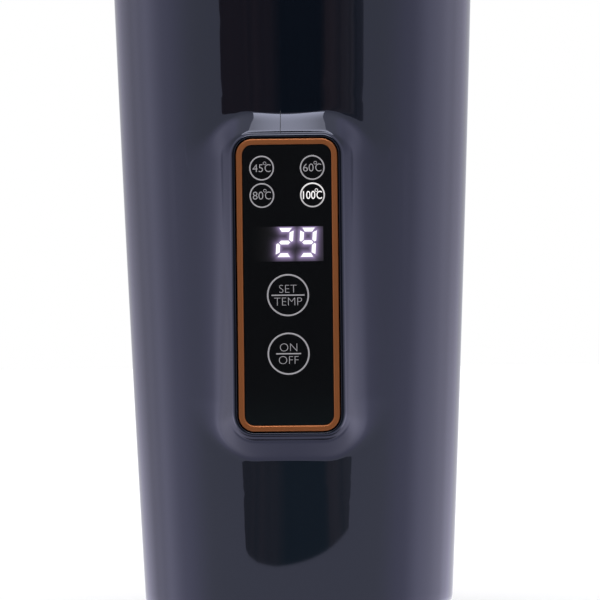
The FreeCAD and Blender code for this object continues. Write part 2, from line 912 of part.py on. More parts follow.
def control_screws():
    screws = []
    for x, z in control_screw_places():
        reach = d.control_screw_reach + d.board_thickness - d.screw_play * 4
        screws.append(screw("control_screw", d.control_screw_shank, d.control_screw_head,
                            d.control_screw_head_height, (x, board_back, z), reach, "y", False))
    return group("control_screws", screws)


def inner_cup():
    """The drawn stainless cup, with a flat rim that lies on the neck."""
    wall = d.cup_wall
    body = turned_body("inner_cup", [
        (0, d.cup_base_z), (d.cup_base_radius, d.cup_base_z),
        (d.cup_mouth_radius, d.cup_mouth_z), (d.cup_mouth_radius, d.cup_rim_z),
        (d.cup_rim_radius, d.cup_rim_z), (d.cup_rim_radius, rim_top),
        (d.cup_mouth_radius - wall, rim_top), (d.cup_mouth_radius - wall, d.cup_mouth_z),
        (d.cup_base_radius - wall, d.cup_base_z + wall), (0, d.cup_base_z + wall),
    ])
    round_edges(body, d.cup_base_round, lambda edge: ring_at(edge, d.cup_base_radius, d.cup_base_z))
    round_edges(body, d.cup_base_round - wall,
                lambda edge: ring_at(edge, d.cup_base_radius - wall, d.cup_base_z + wall))
    round_edges(body, wall / 2, lambda edge: ring_at(edge, d.cup_mouth_radius - wall, rim_top))
    return body


def add_thread(body, root_radius, crest_radius, start_z, turns):
    """Three ridges of one multi-start thread."""
    ridge = new_sketch(body, "XZ_Plane")
    half_root = d.thread_root_width / 2
    half_crest = d.thread_crest_width / 2
    corners = [(root_radius, start_z - half_root), (crest_radius, start_z - half_crest),
               (crest_radius, start_z + half_crest), (root_radius, start_z + half_root)]
    if crest_radius.value < root_radius.value:
        corners.reverse()
    trace(ridge, corners)
    helix = feature(body, "AdditiveHelix", {"Pitch": d.thread_lead, "Turns": turns}, Profile=ridge,
                    ReferenceAxis=(ridge, ["V_Axis"]), Mode="pitch-turns-angle")
    repeat_round(body, helix, d.thread_starts)


def neck_ring():
    """The black ring that caps the shell, holds the cup and carries the lid's thread."""
    body = turned_body("neck_ring", [
        (d.neck_bore, d.cup_mouth_z), (d.neck_skirt_radius, d.cup_mouth_z),
        (d.neck_skirt_radius, d.shell_top_z), (d.neck_flange_radius, d.shell_top_z),
        (d.neck_flange_radius, neck_shelf), (d.neck_core_radius, neck_shelf),
        (d.neck_core_radius, neck_top), (d.neck_bore, neck_top),
    ])
    add_thread(body, d.neck_core_radius - d.thread_embed, d.neck_crest_radius,
               neck_shelf + d.neck_thread_rise, d.neck_thread_turns)
    return body


def neck_seal():
    return turned_body("neck_seal", [
        (d.seal_inner_radius, neck_top), (d.cup_rim_radius, neck_top),
        (d.cup_rim_radius, d.cup_rim_z), (d.seal_inner_radius, d.cup_rim_z),
    ])


def heat_plate():
    return cylinder("heat_plate", d.plate_radius, d.plate_height, (0, 0, plate_low))


def terminal_places():
    """Where the two cold ends of the element point down, either side of the gap in the ring."""
    gap = FULL_TURN - d.element_arc.value
    for side in (-1, 1):
        angle = math.radians(-90 + side * gap / 2)
        yield d.element_radius * math.cos(angle), d.element_radius * math.sin(angle)


def heating_element():
    """An open ring of tube against the plate, with its two ends turned down."""
    middle = plate_low - d.element_tube - d.element_gap
    ring = doc.addObject("Part::Torus", "element_ring")
    first_end = -90 + (FULL_TURN - d.element_arc.value) / 2
    ring.Placement = Placement(Vector(), Rotation(Vector(0, 0, 1), first_end))
    bind(ring, Radius1=d.element_radius, Radius2=d.element_tube, Angle3=d.element_arc)
    place(ring, z=middle)
    parts = [ring]
    for x, y in terminal_places():
        parts.append(cylinder("terminal", d.terminal_radius, middle - d.terminal_low_z,
                              (x, y, d.terminal_low_z)))
    return fuse("heating_element", parts)


def thermal_cutout():
    """A disc thermostat with its mounting flange against the plate."""
    can = cylinder("cutout_can", d.cutout_radius, d.cutout_height, (0, 0, plate_low - d.cutout_height))
    flange = cylinder("cutout_flange", d.cutout_flange_radius, d.cutout_flange_height,
                      (0, 0, plate_low - d.cutout_flange_height))
    return fuse("thermal_cutout", [can, flange])


def temperature_sensor():
    return cylinder("temperature_sensor", d.sensor_radius, d.sensor_height,
                    (d.sensor_x, 0, plate_low - d.sensor_height))


def heat_shield():
    body = new_body("heat_shield")
    disc = new_sketch(body, "XY_Plane", d.shield_z)
    trace_circle(disc, d.shield_radius)
    for x, y in stud_places():
        trace_circle(disc, d.stud_radius + d.stud_play, x, y)
    for x, y in terminal_places():
        trace_circle(disc, d.terminal_hole, x, y)
    pad(body, disc, d.shield_thickness)
    return body


def stud_places():
    return list(around(3, d.stud_circle, 30))


def heater_studs():
    studs = [cylinder("stud", d.stud_radius, plate_low - d.stud_low_z, (x, y, d.stud_low_z))
             for x, y in stud_places()]
    return group("heater_studs", studs)


def shield_spacers():
    """The sleeves that hold the shield off the plate."""
    sleeves = []
    height = plate_low - shield_top
    for x, y in stud_places():
        sleeve = cylinder("sleeve", d.spacer_radius, height, (x, y, shield_top))
        bore = cylinder("sleeve_bore", d.stud_radius + d.stud_play, height, (x, y, shield_top))
        sleeves.append(cut("spacer", sleeve, [bore]))
    return group("shield_spacers", sleeves)


def heater_nuts():
    nuts = []
    low = d.shield_z - d.nut_height
    for x, y in stud_places():
        hexagon = doc.addObject("Part::Prism", "nut_blank")
        hexagon.Polygon = 6
        bind(hexagon, Circumradius=d.nut_radius, Height=d.nut_height)
        place(hexagon, x, y, low)
        bore = cylinder("nut_bore", d.stud_radius + d.stud_play, d.nut_height, (x, y, low))
        nuts.append(cut("nut", hexagon, [bore]))
    return group("heater_nuts", nuts)


def post_places():
    return list(around(3, d.post_circle, 30))


def power_board():
    """A round board with one side cut straight to clear the inlet."""
    disc = cylinder("power_disc", d.power_board_radius, d.power_board_thickness, (0, 0, d.power_board_z))
    beyond = box("beyond_flat", (-d.power_board_radius, d.power_board_flat_y, d.power_board_z),
                 (d.power_board_radius * 2, d.power_board_radius, d.power_board_thickness))
    tools = [beyond]
    for x, y in post_places():
        tools.append(cylinder("board_hole", d.board_screw_shank + d.screw_play, d.power_board_thickness,
                              (x, y, d.power_board_z)))
    return cut("power_board", disc, tools)


def board_screws():
    reach = d.board_screw_reach + d.power_board_thickness - d.screw_play * 4
    screws = [screw("board_screw", d.board_screw_shank, d.board_screw_head, d.board_screw_head_height,
                    (x, y, board_top), reach, "z", False) for x, y in post_places()]
    return group("board_screws", screws)


def moulded_block(name, low, sides, edge_round):
    """A rectangular component with rounded upright edges and top."""
    body = new_body(name)
    base = new_sketch(body, "XY_Plane", low[2])
    trace_rectangle(base, sides[0], low[1], low[1] + sides[1], low[0] + sides[0] / 2)
    pad(body, base, sides[2])
    round_edges(body, edge_round, lambda edge: not level_at(edge, low[2]))
    return body


def relay():
    return moulded_block("relay", (d.relay_x, d.relay_y, board_top),
                         (d.relay_width, d.relay_length, d.relay_height), d.relay_round)


def film_capacitor():
    return moulded_block("film_capacitor", (d.film_x, d.film_y, board_top),
                         (d.film_length, d.film_width, d.film_height), d.film_round)


def supply_capacitor():
    body = new_body("supply_capacitor")
    base = new_sketch(body, "XY_Plane", board_top)
    trace_circle(base, d.can_radius, d.can_x, d.can_y)
    pad(body, base, d.can_height)
    round_edges(body, d.can_round, lambda edge: level_at(edge, board_top + d.can_height))
    return body


def base_cover():
    """The round cover under the shell, with a groove for the foot and posts for the power board."""
    groove = d.shell_base_z + d.foot_sink
    body = turned_body("base_cover", [
        (0, d.shell_base_z), (d.foot_inner_radius - d.foot_play, d.shell_base_z),
        (d.foot_inner_radius - d.foot_play, groove), (d.foot_outer_radius + d.foot_play, groove),
        (d.foot_outer_radius + d.foot_play, d.shell_base_z), (d.cover_radius, d.shell_base_z),
        (d.cover_radius, cover_top), (0, cover_top),
    ])
    posts = new_sketch(body, "XY_Plane", cover_top)
    for x, y in post_places():
        trace_circle(posts, d.post_radius, x, y)
        trace_circle(posts, d.board_screw_shank + d.screw_play, x, y)
    pad(body, posts, d.power_board_z - cover_top)
    holes = new_sketch(body, "XY_Plane", d.shell_base_z)
    trace_circle(holes, d.base_screw_shank + d.screw_play, 0, d.base_screw_circle)
    repeat_round(body, pocket(body, holes, d.cover_thickness, reverse=True), 3)
    sinks = new_sketch(body, "XY_Plane", d.shell_base_z)
    trace_circle(sinks, d.base_screw_head + d.cover_play, 0, d.base_screw_circle)
    repeat_round(body, pocket(body, sinks, d.base_screw_head_height, reverse=True), 3)
    return body


def base_screws():
    shoulder = d.shell_base_z + d.base_screw_head_height
    reach = d.base_screw_top_z - shoulder
    screws = [screw("base_screw", d.base_screw_shank, d.base_screw_head, d.base_screw_head_height,
                    (x, y, shoulder), reach, "z", True)
              for x, y in around(3, d.base_screw_circle, 90)]
    return group("base_screws", screws)


def foot_ring():
    """The silicone ring that the kettle stands on."""
    top = d.shell_base_z + d.foot_sink
    body = turned_body("foot_ring", [
        (d.foot_inner_radius, 0), (d.foot_outer_radius, 0),
        (d.foot_outer_radius, top), (d.foot_inner_radius, top),
    ])
    round_edges(body, d.foot_round, lambda edge: level_at(edge, 0))
    return body


def pin_places():
    low = d.inlet_z - d.pin_drop
    return [(-d.pin_spread, low), (d.pin_spread, low), (size(0), d.inlet_z + d.pin_rise)]


def inlet_socket():
    """The inlet's moulding: a flange on the shell, a shrouded cavity and slots for three pins."""
    body = new_body("inlet_socket")
    flange = upright_sketch(body, flap_back)
    trace_centred(flange, d.socket_flange_width, d.socket_flange_height, d.socket_flange_corner, d.inlet_z)
    pad(body, flange, d.socket_flange_depth)
    shroud = upright_sketch(body, flap_floor)
    trace_centred(shroud, d.socket_width, d.socket_height, d.socket_corner, d.inlet_z)
    pad(body, shroud, flap_floor - d.socket_rear_y)
    cavity = upright_sketch(body, flap_back)
    side = d.cavity_width / 2
    low = d.inlet_z - d.cavity_height / 2
    high = d.inlet_z + d.cavity_height / 2
    trace(cavity, [(-side, low), (side, low), (side, high - d.cavity_chamfer),
                   (side - d.cavity_chamfer, high), (-side + d.cavity_chamfer, high),
                   (-side, high - d.cavity_chamfer)])
    pocket(body, cavity, flap_back - d.socket_rear_y - d.socket_back_wall, reverse=True)
    slots = upright_sketch(body, d.socket_rear_y + d.socket_back_wall)
    for x, z in pin_places():
        half = d.pin_height / 2 + d.pin_play
        trace_rectangle(slots, d.pin_width + d.pin_play * 2, z - half, z + half, x)
    pocket(body, slots, d.socket_back_wall, reverse=True)
    return body


def inlet_pins():
    tail = d.socket_rear_y - d.pin_tail
    length = flap_back - d.pin_tip_setback - tail
    pins = [box("inlet_pin", (x - d.pin_width / 2, tail, z - d.pin_height / 2),
                (d.pin_width, length, d.pin_height)) for x, z in pin_places()]
    return group("inlet_pins", pins)


def inlet_leads():
    """Two wires from the pins down to the power board and one from the earth pin up to the shield."""
    tail = d.socket_rear_y - d.pin_tail
    drop_y = tail - d.mains_wire_run
    left, right, earth = pin_places()
    leads = []
    for x, z in (left, right):
        leads.append(tube("mains_lead", [(x, tail, z), (x, drop_y, z), (x, drop_y, board_top)],
                          d.mains_wire_radius))
    x, z = earth
    leads.append(tube("earth_lead", [(x, tail, z), (x, drop_y, z), (x, drop_y, d.shield_z)],
                      d.mains_wire_radius))
    return group("inlet_leads", leads)


def heater_leads():
    leads = [cylinder("heater_lead", d.mains_wire_radius, d.terminal_low_z - board_top, (x, y, board_top))
             for x, y in terminal_places()]
    return group("heater_leads", leads)


def control_harness():
    """The wires from the power board up past the shield to the back of the control board."""
    route = [(-25.0, board_top), (-25.0, 22.0), (-30.6, 31.5), (-31.2, 41.0), (-31.2, 50.0),
             (board_back, 50.0)]
    return tube("control_harness", [(d.harness_x, y, z) for y, z in route], d.harness_radius)


def socket_cover():
    """The silicone flap over the inlet, with a lip that enters the cavity and a ridge to pull."""
    body = new_body("socket_cover")
    plate = upright_sketch(body, flap_front)
    trace_half_rounded(plate, d.flap_width, flap_top, flap_low, d.flap_corner)
    pad(body, plate, d.flap_thickness)
    round_edges(body, d.flap_edge_round, lambda edge: upright_at(edge, flap_front))
    lip = upright_sketch(body, flap_back)
    trace_centred(lip, d.lip_width, d.lip_height, d.lip_corner, d.inlet_z - d.lip_drop)
    pad(body, lip, d.lip_depth)
    ridge = upright_sketch(body, flap_front + d.pull_depth)
    trace_centred(ridge, d.pull_width, d.pull_height, d.pull_height / 2 - SKIN, d.inlet_z - d.pull_drop)
    pad(body, ridge, d.pull_depth)
    return body


def cover_anchor():
    """The silicone bar above the flap that holds it to the shell with two pegs."""
    body = new_body("cover_anchor")
    bar = upright_sketch(body, flap_front)
    trace_half_rounded(bar, d.flap_width, anchor_low, anchor_top, d.flap_corner)
    pad(body, bar, flap_front - flap_floor)
    round_edges(body, d.flap_edge_round, lambda edge: upright_at(edge, flap_front))
    pegs = upright_sketch(body, flap_floor)
    trace_pegs(pegs, d.anchor_peg_radius)
    pad(body, pegs, d.anchor_peg_length)
    return body


def lid_cap():
    """The domed cap: its rear rim is cut down to a ledge for the handle."""
    dome_top = d.lid_rim_z + d.lid_dome
    dome_radius = (d.lid_radius * d.lid_radius + d.lid_dome * d.lid_dome) / (d.lid_dome * 2)
    body = turned_body("lid_cap", [
        (d.lid_bore, d.lid_low_z), (d.lid_radius, d.lid_low_z), (d.lid_radius, d.lid_rim_z),
        (0, dome_top), (0, d.lid_hollow_z), (d.lid_hollow_radius, d.lid_hollow_z),
        (d.lid_hollow_radius, d.lid_roof_z), (d.lid_bore, d.lid_roof_z),
    ], {2: dome_radius})
    round_edges(body, d.lid_edge_round, lambda edge: ring_at(edge, d.lid_radius, d.lid_rim_z))
    beyond = d.lid_radius + d.lid_edge_round
    shoulder = d.crown_radius - d.crown_edge_round
    shoulder_z = dome_top - shoulder * shoulder / (dome_radius * 2)
    bay = new_sketch(body, "YZ_Plane")
    trace(bay, [(d.crown_radius, d.ledge_z), (beyond, d.ledge_z), (beyond, dome_top), (shoulder, dome_top),
                (shoulder, shoulder_z), (d.crown_radius, shoulder_z - d.crown_edge_round)],
          {4: -d.crown_edge_round})
    groove(body, bay, d.handle_bay_sweep, midplane=True)

    pin_hole = new_sketch(body, "YZ_Plane", -d.handle_inner_radius)
    trace_circle(pin_hole, d.pivot_radius + d.pivot_play, 0, d.pivot_z)
    pocket(body, pin_hole, d.handle_inner_radius * 2, reverse=True)
    vent = new_sketch(body, "XY_Plane", dome_top)
    trace_circle(vent, d.vent_stem_radius + d.vent_play, 0, d.vent_y)
    pocket(body, vent, dome_top - d.lid_hollow_z)
    vent_seat = new_sketch(body, "XY_Plane", dome_top)
    trace_circle(vent_seat, d.vent_head_radius + d.vent_play, 0, d.vent_y)
    pocket(body, vent_seat, dome_top - d.vent_head_low_z)
    return body


def lid_thread_ring():
    """The black ring inside the cap: the lid's thread, and the catch that lifts the stopper."""
    body = turned_body("lid_thread_ring", [
        (d.thread_ring_bore, d.thread_ring_low_z), (d.thread_ring_radius, d.thread_ring_low_z),
        (d.thread_ring_radius, d.lid_roof_z), (d.catch_bore, d.lid_roof_z),
        (d.catch_bore, d.catch_high_z), (d.catch_radius, d.catch_high_z),
        (d.catch_radius, d.catch_low_z), (d.thread_ring_bore, d.catch_low_z),
    ])
    add_thread(body, d.thread_ring_bore + d.thread_embed, d.thread_ring_crest,
               d.thread_ring_low_z + d.thread_ring_rise, d.thread_ring_turns)
    return body


def lid_stopper():
    """The dished plug that closes the cup's mouth. It rises with the lid but doesn't turn."""
    flange_top = d.stopper_flange_z + d.stopper_flange_height
    inside = d.stopper_radius - d.stopper_wall
    body = turned_body("lid_stopper", [
        (0, d.stopper_low_z), (d.stopper_radius, d.stopper_low_z),
        (d.stopper_radius, d.stopper_flange_z), (d.stopper_flange_radius, d.stopper_flange_z),
        (d.stopper_flange_radius, flange_top), (inside, flange_top),
        (inside, d.stopper_low_z + d.stopper_wall), (0, d.stopper_low_z + d.stopper_wall),
    ])
    round_edges(body, d.stopper_base_round, lambda edge: ring_at(edge, d.stopper_radius, d.stopper_low_z))
    vent = new_sketch(body, "XY_Plane", d.stopper_low_z + d.stopper_wall)
    trace_circle(vent, d.stopper_vent_radius, 0, d.vent_y)
    pocket(body, vent, d.stopper_wall)
    return body


def lid_seal():
    low = d.stopper_flange_z - d.lid_seal_height
    return turned_body("lid_seal", [
        (d.lid_seal_inner_radius, low), (d.lid_seal_outer_radius, low),
        (d.lid_seal_outer_radius, d.stopper_flange_z), (d.lid_seal_inner_radius, d.stopper_flange_z),
    ])


def vent_plug():
    """The silicone steam vent in the front of the lid's dome."""
    catch_top = d.vent_catch_low_z + d.vent_catch_height
    head_top = d.vent_head_low_z + d.vent_head_height
    body = turned_body("vent_plug", [
        (d.vent_bore, d.vent_catch_low_z), (d.vent_catch_radius, d.vent_catch_low_z),
        (d.vent_catch_radius, catch_top), (d.vent_stem_radius, catch_top),
        (d.vent_stem_radius, d.vent_head_low_z), (d.vent_head_radius, d.vent_head_low_z),
        (d.vent_head_radius, head_top), (d.vent_bore, head_top),
    ])
    place(body, y=d.vent_y)
    return body


def carry_handle():
    """A half ring that lies on the lid's ledge and swings up on two pins."""
    body = new_body("half_ring")
    section = new_sketch(body, "YZ_Plane")
    trace(section, [(d.handle_inner_radius, d.handle_low_z), (d.lid_radius, d.handle_low_z),
                    (d.lid_radius, d.handle_high_z), (d.handle_inner_radius, d.handle_high_z)])
    turn(body, section, angle=d.handle_sweep, midplane=True)
    round_edges(body, d.handle_end_round, crosses_handle_end)
    round_edges(body, d.handle_outer_round, lambda edge: ring_at(edge, d.lid_radius, d.handle_high_z))
    tools = [cylinder("pin_bore", d.pivot_radius + d.pivot_play, d.lid_radius * 2,
                      (-d.lid_radius, 0, d.pivot_z), "x")]
    seat = d.pivot_head_x - d.pivot_play
    for head_x in (seat, -d.lid_radius):
        tools.append(cylinder("head_bore", d.pivot_head_radius + d.pivot_head_play, d.lid_radius - seat,
                              (head_x, 0, d.pivot_z), "x"))
    return cut("carry_handle", body, tools)


def crosses_handle_end(edge):
    """The short edges across the two ends of the half ring, at its top and bottom."""
    return isinstance(edge.Curve, Part.Line) and edge.BoundBox.ZLength < SKIN


def handle_pins():
    pins = []
    shank = d.pivot_head_x - d.pivot_root_x
    for side in (-1, 1):
        shank_x = d.pivot_root_x if side > 0 else -d.pivot_head_x
        head_x = d.pivot_head_x if side > 0 else -d.pivot_head_x - d.pivot_head_height
        stem = cylinder("pin_stem", d.pivot_radius, shank, (shank_x, 0, d.pivot_z), "x")
        head = cylinder("pin_head", d.pivot_head_radius, d.pivot_head_height, (head_x, 0, d.pivot_z), "x")
        pins.append(fuse("handle_pin", [stem, head]))
    return group("handle_pins", pins)


SUB_PARTS = [
    outer_shell, panel_trim, panel_lens, light_guide, display_module, indicator_leds, touch_springs,
    control_board, control_screws, inner_cup, neck_ring, neck_seal, heat_plate, heating_element,
    thermal_cutout, temperature_sensor, heat_shield, heater_studs, shield_spacers, heater_nuts,
    power_board, board_screws, relay, film_capacitor, supply_capacitor, base_cover, base_screws,
    foot_ring, inlet_socket, inlet_pins, inlet_leads, heater_leads, control_harness, socket_cover,
    cover_anchor, lid_cap, lid_thread_ring, lid_stopper, lid_seal, vent_plug, carry_handle, handle_pins,
]


def main():
    nodes = {}
    for make in SUB_PARTS:
        node = make()
        node.Label = make.__name__
        nodes[make.__name__] = node
    doc.recompute()
    for item in doc.Objects:
        if "Invalid" in item.State or "Error" in item.State:
            raise RuntimeError(f"{item.Label} failed to build: {item.State}")
    for name, node in nodes.items():
        if node.Shape.isNull() or not node.Shape.isValid() or not node.Shape.Solids:
            raise RuntimeError(f"{name} has no valid solid")
    os.makedirs("parts", exist_ok=True)
    for name, node in nodes.items():
        node.Shape.exportStep(f"parts/{name}.step")


main()
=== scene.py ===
"""Looks of a portable electric kettle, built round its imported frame.

Metres. +Z is up, the touch panel faces -Y and the mains inlet +Y.
"""
import math

import bmesh
import bpy
import numpy as np
from mathutils import Matrix, Vector


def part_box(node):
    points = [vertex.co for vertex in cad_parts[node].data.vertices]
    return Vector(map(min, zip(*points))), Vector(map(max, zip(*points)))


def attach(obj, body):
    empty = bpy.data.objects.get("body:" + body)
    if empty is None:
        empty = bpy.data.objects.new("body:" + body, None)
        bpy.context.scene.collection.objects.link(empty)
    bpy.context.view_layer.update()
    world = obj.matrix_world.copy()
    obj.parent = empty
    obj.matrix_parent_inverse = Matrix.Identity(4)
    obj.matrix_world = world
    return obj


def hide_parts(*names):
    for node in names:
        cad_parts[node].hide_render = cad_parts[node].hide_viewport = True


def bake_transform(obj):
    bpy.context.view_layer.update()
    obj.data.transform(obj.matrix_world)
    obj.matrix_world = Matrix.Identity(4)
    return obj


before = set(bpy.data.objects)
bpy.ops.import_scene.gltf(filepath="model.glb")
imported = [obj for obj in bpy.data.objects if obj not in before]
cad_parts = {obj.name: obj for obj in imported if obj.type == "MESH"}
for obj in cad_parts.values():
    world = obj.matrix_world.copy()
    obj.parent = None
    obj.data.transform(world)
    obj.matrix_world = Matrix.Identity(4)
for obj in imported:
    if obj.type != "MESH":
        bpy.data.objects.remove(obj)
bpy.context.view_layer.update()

bl_info = {
    "name": "Travel kettle looks",
    "version": (1, 0, 0),
    "blender": (4, 5, 0),
    "location": "View3D > Sidebar > Kettle",
    "description": "Builds the skin, the touch panel's print and lights, and every finish of a kettle",
    "category": "Object",
}

SHELL_LOW, SHELL_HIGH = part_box("outer_shell")
LENS_LOW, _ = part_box("panel_lens")
_, FLAP_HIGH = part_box("socket_cover")
ANCHOR_LOW, ANCHOR_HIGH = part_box("cover_anchor")


def length(name, description, default):
    """A length that a user may change."""
    return bpy.props.FloatProperty(name=name, description=description, default=default, unit="LENGTH",
                                   precision=5)


def ratio(name, description, default):
    """A plain number that a user may change."""
    return bpy.props.FloatProperty(name=name, description=description, default=default)


def turn_angle(name, description, degrees):
    """An angle that a user may change."""
    return bpy.props.FloatProperty(name=name, description=description, default=math.radians(degrees),
                                   subtype="ANGLE")


def colour(name, description, default):
    """A linear colour that a user may change."""
    return bpy.props.FloatVectorProperty(name=name, description=description, default=default, size=3,
                                         min=0.0, max=1.0, subtype="COLOR")


class KettleShellSizes(bpy.types.PropertyGroup):
    """The tapered wall of the moulding."""
    base_radius: length("Base radius", "Outer radius at the foot of the wall", 0.0355)
    top_radius: length("Top radius", "Outer radius at the top of the wall", 0.0427)
    bow: length("Bow", "How far the wall swells past a straight taper", 0.00042)
    base_round: length("Base rounding", "Radius of the edge under the wall", 0.003)
    top_round: length("Top rounding", "Radius of the edge at the top of the wall", 0.0005)
    underside_radius: length("Underside radius", "Where the moulding ends under the base", 0.0315)
    mouth_radius: length("Mouth radius", "Where the moulding ends at the top", 0.0404)
    skin: length("Skin", "Thickness of the moulding", 0.002)
    pad_skin: length("Pad skin", "Thickness of the moulding round the recesses", 0.0004)


class KettleBossSizes(bpy.types.PropertyGroup):
    """A raised pad on the wall: a flat face with flanks that slope back into the taper."""
    face: length("Face", "Distance of the flat face from the axis", 0.0422)
    width: length("Width", "Width of the face", 0.0259)
    low: length("Low edge", "Height of the face's lower edge", 0.0437)
    high: length("High edge", "Height of the face's upper edge", 0.1116)
    corner: length("Corner", "Corner radius of the face", 0.0056)
    face_lean: ratio("Face lean", "How fast the flanks fall back below their top", 0.018)
    bead_rise: length("Bead rise", "How far the bead round the recess stands off the face", 0.0004)
    bead_width: length("Bead width", "Width of the bead at its top", 0.00055)
    shoulder: length("Shoulder", "How far the sloping shoulder outside the bead falls back", 0.0018)
    shoulder_foot: ratio("Shoulder at the foot", "Fall for each unit of run along the foot", 2.2)
    shoulder_fade: length("Shoulder fade", "Height over which the shoulder runs out near the top", 0.006)
    side_run: ratio("Side run", "Sideways run for each unit of depth", 0.74)
    foot_run: ratio("Foot run", "Sideways run low on the pad", 0.50)
    foot_low: length("Foot low", "Height up to which the low sideways run holds", 0.040)
    foot_high: length("Foot high", "Height from which the upper sideways run holds", 0.112)
    low_run: ratio("Lower run", "Downward run for each unit of depth", 1.2)
    high_run: ratio("Upper run", "Upward run for each unit of depth", 2.25)
    corner_run: ratio("Corner run", "Corner growth for each unit of depth", 0.43)
    rim_round: length("Rim rounding", "Radius of the edge round the face", 0.0014)
    side_root: length("Side root", "Reach of the rounding where the sides meet the wall", 0.0052)
    high_root: length("Upper root", "Reach of the rounding where the top meets the wall", 0.0012)
    low_root: length("Lower root", "Reach of the rounding where the foot meets the wall", 0.0004)
    recess_width: length("Recess width", "Width of the recess in the face", 0.0230)
    recess_low: length("Recess low", "Height of the recess's lower edge", 0.04515)
    recess_high: length("Recess high", "Height of the recess's upper edge", 0.11035)
    recess_corner: length("Recess corner", "Corner radius of the recess", 0.0039)
    recess_depth: length("Recess depth", "How deep the recess is below the bead's top", 0.0024)
    recess_lip: length("Recess lip", "Radius of the recess's mouth", 0.00015)
    ledge: length("Ledge", "Width of the ledge on the recess's floor", 0.0013)
    reach: length("Reach", "Width of the fine mesh round the recess", 0.0112)
    margin: length("Margin", "Half width of the wall that the pad's mesh takes up", 0.0268)
    margin_low: length("Margin low", "Height where the pad's mesh starts", 0.024)
    margin_high: length("Margin high", "Height where the pad's mesh ends", 0.15)


class KettlePrintSizes(bpy.types.PropertyGroup):
    """The print and the lights on the touch window."""
    relief: length("Relief", "How far the print stands off the window", 0.00003)
    mark_x: length("Mark offset", "Sideways distance of the temperature marks", 0.00558)
    mark_shift: length("Mark shift", "How far right of the middle the marks sit as a set", 0.00007)
    mark_high_z: length("Upper marks", "Height of the upper temperature marks", 0.10354)
    mark_low_z: length("Lower marks", "Height of the lower temperature marks", 0.0975)
    mark_radius: length("Mark radius", "Outer radius of a temperature mark's ring", 0.00274)
    mark_line: length("Mark line", "Line width of a temperature mark's ring", 0.00031)
    mark_figure: length("Mark figures", "Height of a temperature mark's figures", 0.00184)
    key_high_z: length("Upper key", "Height of the upper touch key", 0.0755)
    key_low_z: length("Lower key", "Height of the lower touch key", 0.0626)
    key_radius: length("Key radius", "Outer radius of a key's ring", 0.00466)
    key_line: length("Key line", "Line width of a key's ring", 0.00036)
    key_letter: length("Key letters", "Height of a key's capitals", 0.00192)
    digit_height: length("Digit height", "Height of the display's digits", 0.0064)
    digit_width: length("Digit width", "Width of a digit before it is slanted", 0.00362)
    digit_bar: length("Digit bar", "Width of a digit's bars", 0.00084)
    digit_gap: length("Digit gap", "Gap between a digit's bars", 0.00017)
    digit_corner: length("Digit corner", "How far a digit's outer corners are cut back", 0.00044)
    digit_pitch: length("Digit pitch", "Distance between the digits", 0.0051)
    digit_x: length("Digit place", "Sideways place of the first digit's middle", -0.0006)
    digit_z: length("Digit height in the panel", "Height of the digits' middle", 0.0871)
    slant: turn_angle("Slant", "Lean of the digits", 4.0)
    glow_width: length("Glow width", "Width of the lit display window", 0.0158)
    glow_height: length("Glow height", "Height of the lit display window", 0.00765)
    glow_drop: length("Glow drop", "How far the lit window sits below the digits' middle", 0.00033)
    glow_spread: length("Glow spread", "How far a lit bar shines", 0.00056)


class KettleColours(bpy.types.PropertyGroup):
    """The finishes that give the kettle its look."""
    body: colour("Body", "Navy of the moulding", (0.0024, 0.0038, 0.0072))
    body_gloss: colour("Body gloss", "Tint of the moulding's reflections", (0.74, 0.77, 0.97))
    copper: colour("Copper", "Colour of the panel's frame", (0.285, 0.087, 0.0205))
    window: colour("Window", "Black of the touch window", (0.0030, 0.0030, 0.0036))
    print_grey: colour("Print", "Grey of the printed lines", (0.30, 0.29, 0.31))
    lit: colour("Lit print", "Colour of what is lit", (1.0, 0.97, 0.95))
    glow: colour("Glow", "Colour round the lit digits", (0.34, 0.25, 0.47))
    haze: colour("Haze", "Grey of the lit window away from the digits", (0.0135, 0.013, 0.0142))
    black_plastic: colour("Black plastic", "Colour of the black mouldings", (0.012, 0.0125, 0.015))
    handle: colour("Handle", "Colour of the carrying handle", (0.011, 0.0135, 0.021))
    silicone: colour("Silicone", "Colour of the dark silicone pieces", (0.021, 0.022, 0.026))
    floor: colour("Floor", "Colour of the floor", (0.98, 0.98, 0.98))


class KettleStageSizes(bpy.types.PropertyGroup):
    """The camera's place and what its picture covers."""
    camera_distance: length("Camera distance", "From the kettle's axis to the camera", 0.8)
    camera_height: length("Camera height", "Height of the camera and of its aim", 0.0744)
    camera_azimuth: turn_angle("Camera azimuth", "How far the camera stands to the right", 2.25)
    camera_roll: turn_angle("Camera roll", "Lean of the picture", 0.65)
    camera_aim: length("Camera aim", "How far right of the axis the camera aims", 0.00097)
    picture_width: length("Picture width", "Width that the picture covers at the axis", 0.1395)


class KettleSettings(bpy.types.PropertyGroup):
    """Everything that a user may change."""
    shell: bpy.props.PointerProperty(type=KettleShellSizes, name="Shell", description="The tapered wall")
    surround: bpy.props.PointerProperty(type=KettleBossSizes, name="Surround",
                                        description="The raised pad round the touch panel")
    inlet: bpy.props.PointerProperty(type=KettleBossSizes, name="Inlet",
                                     description="The raised pad round the mains inlet")
    panel: bpy.props.PointerProperty(type=KettlePrintSizes, name="Panel", description="Print and lights")
    colours: bpy.props.PointerProperty(type=KettleColours, name="Colours", description="Finishes")
    stage: bpy.props.PointerProperty(type=KettleStageSizes, name="Stage", description="Camera")


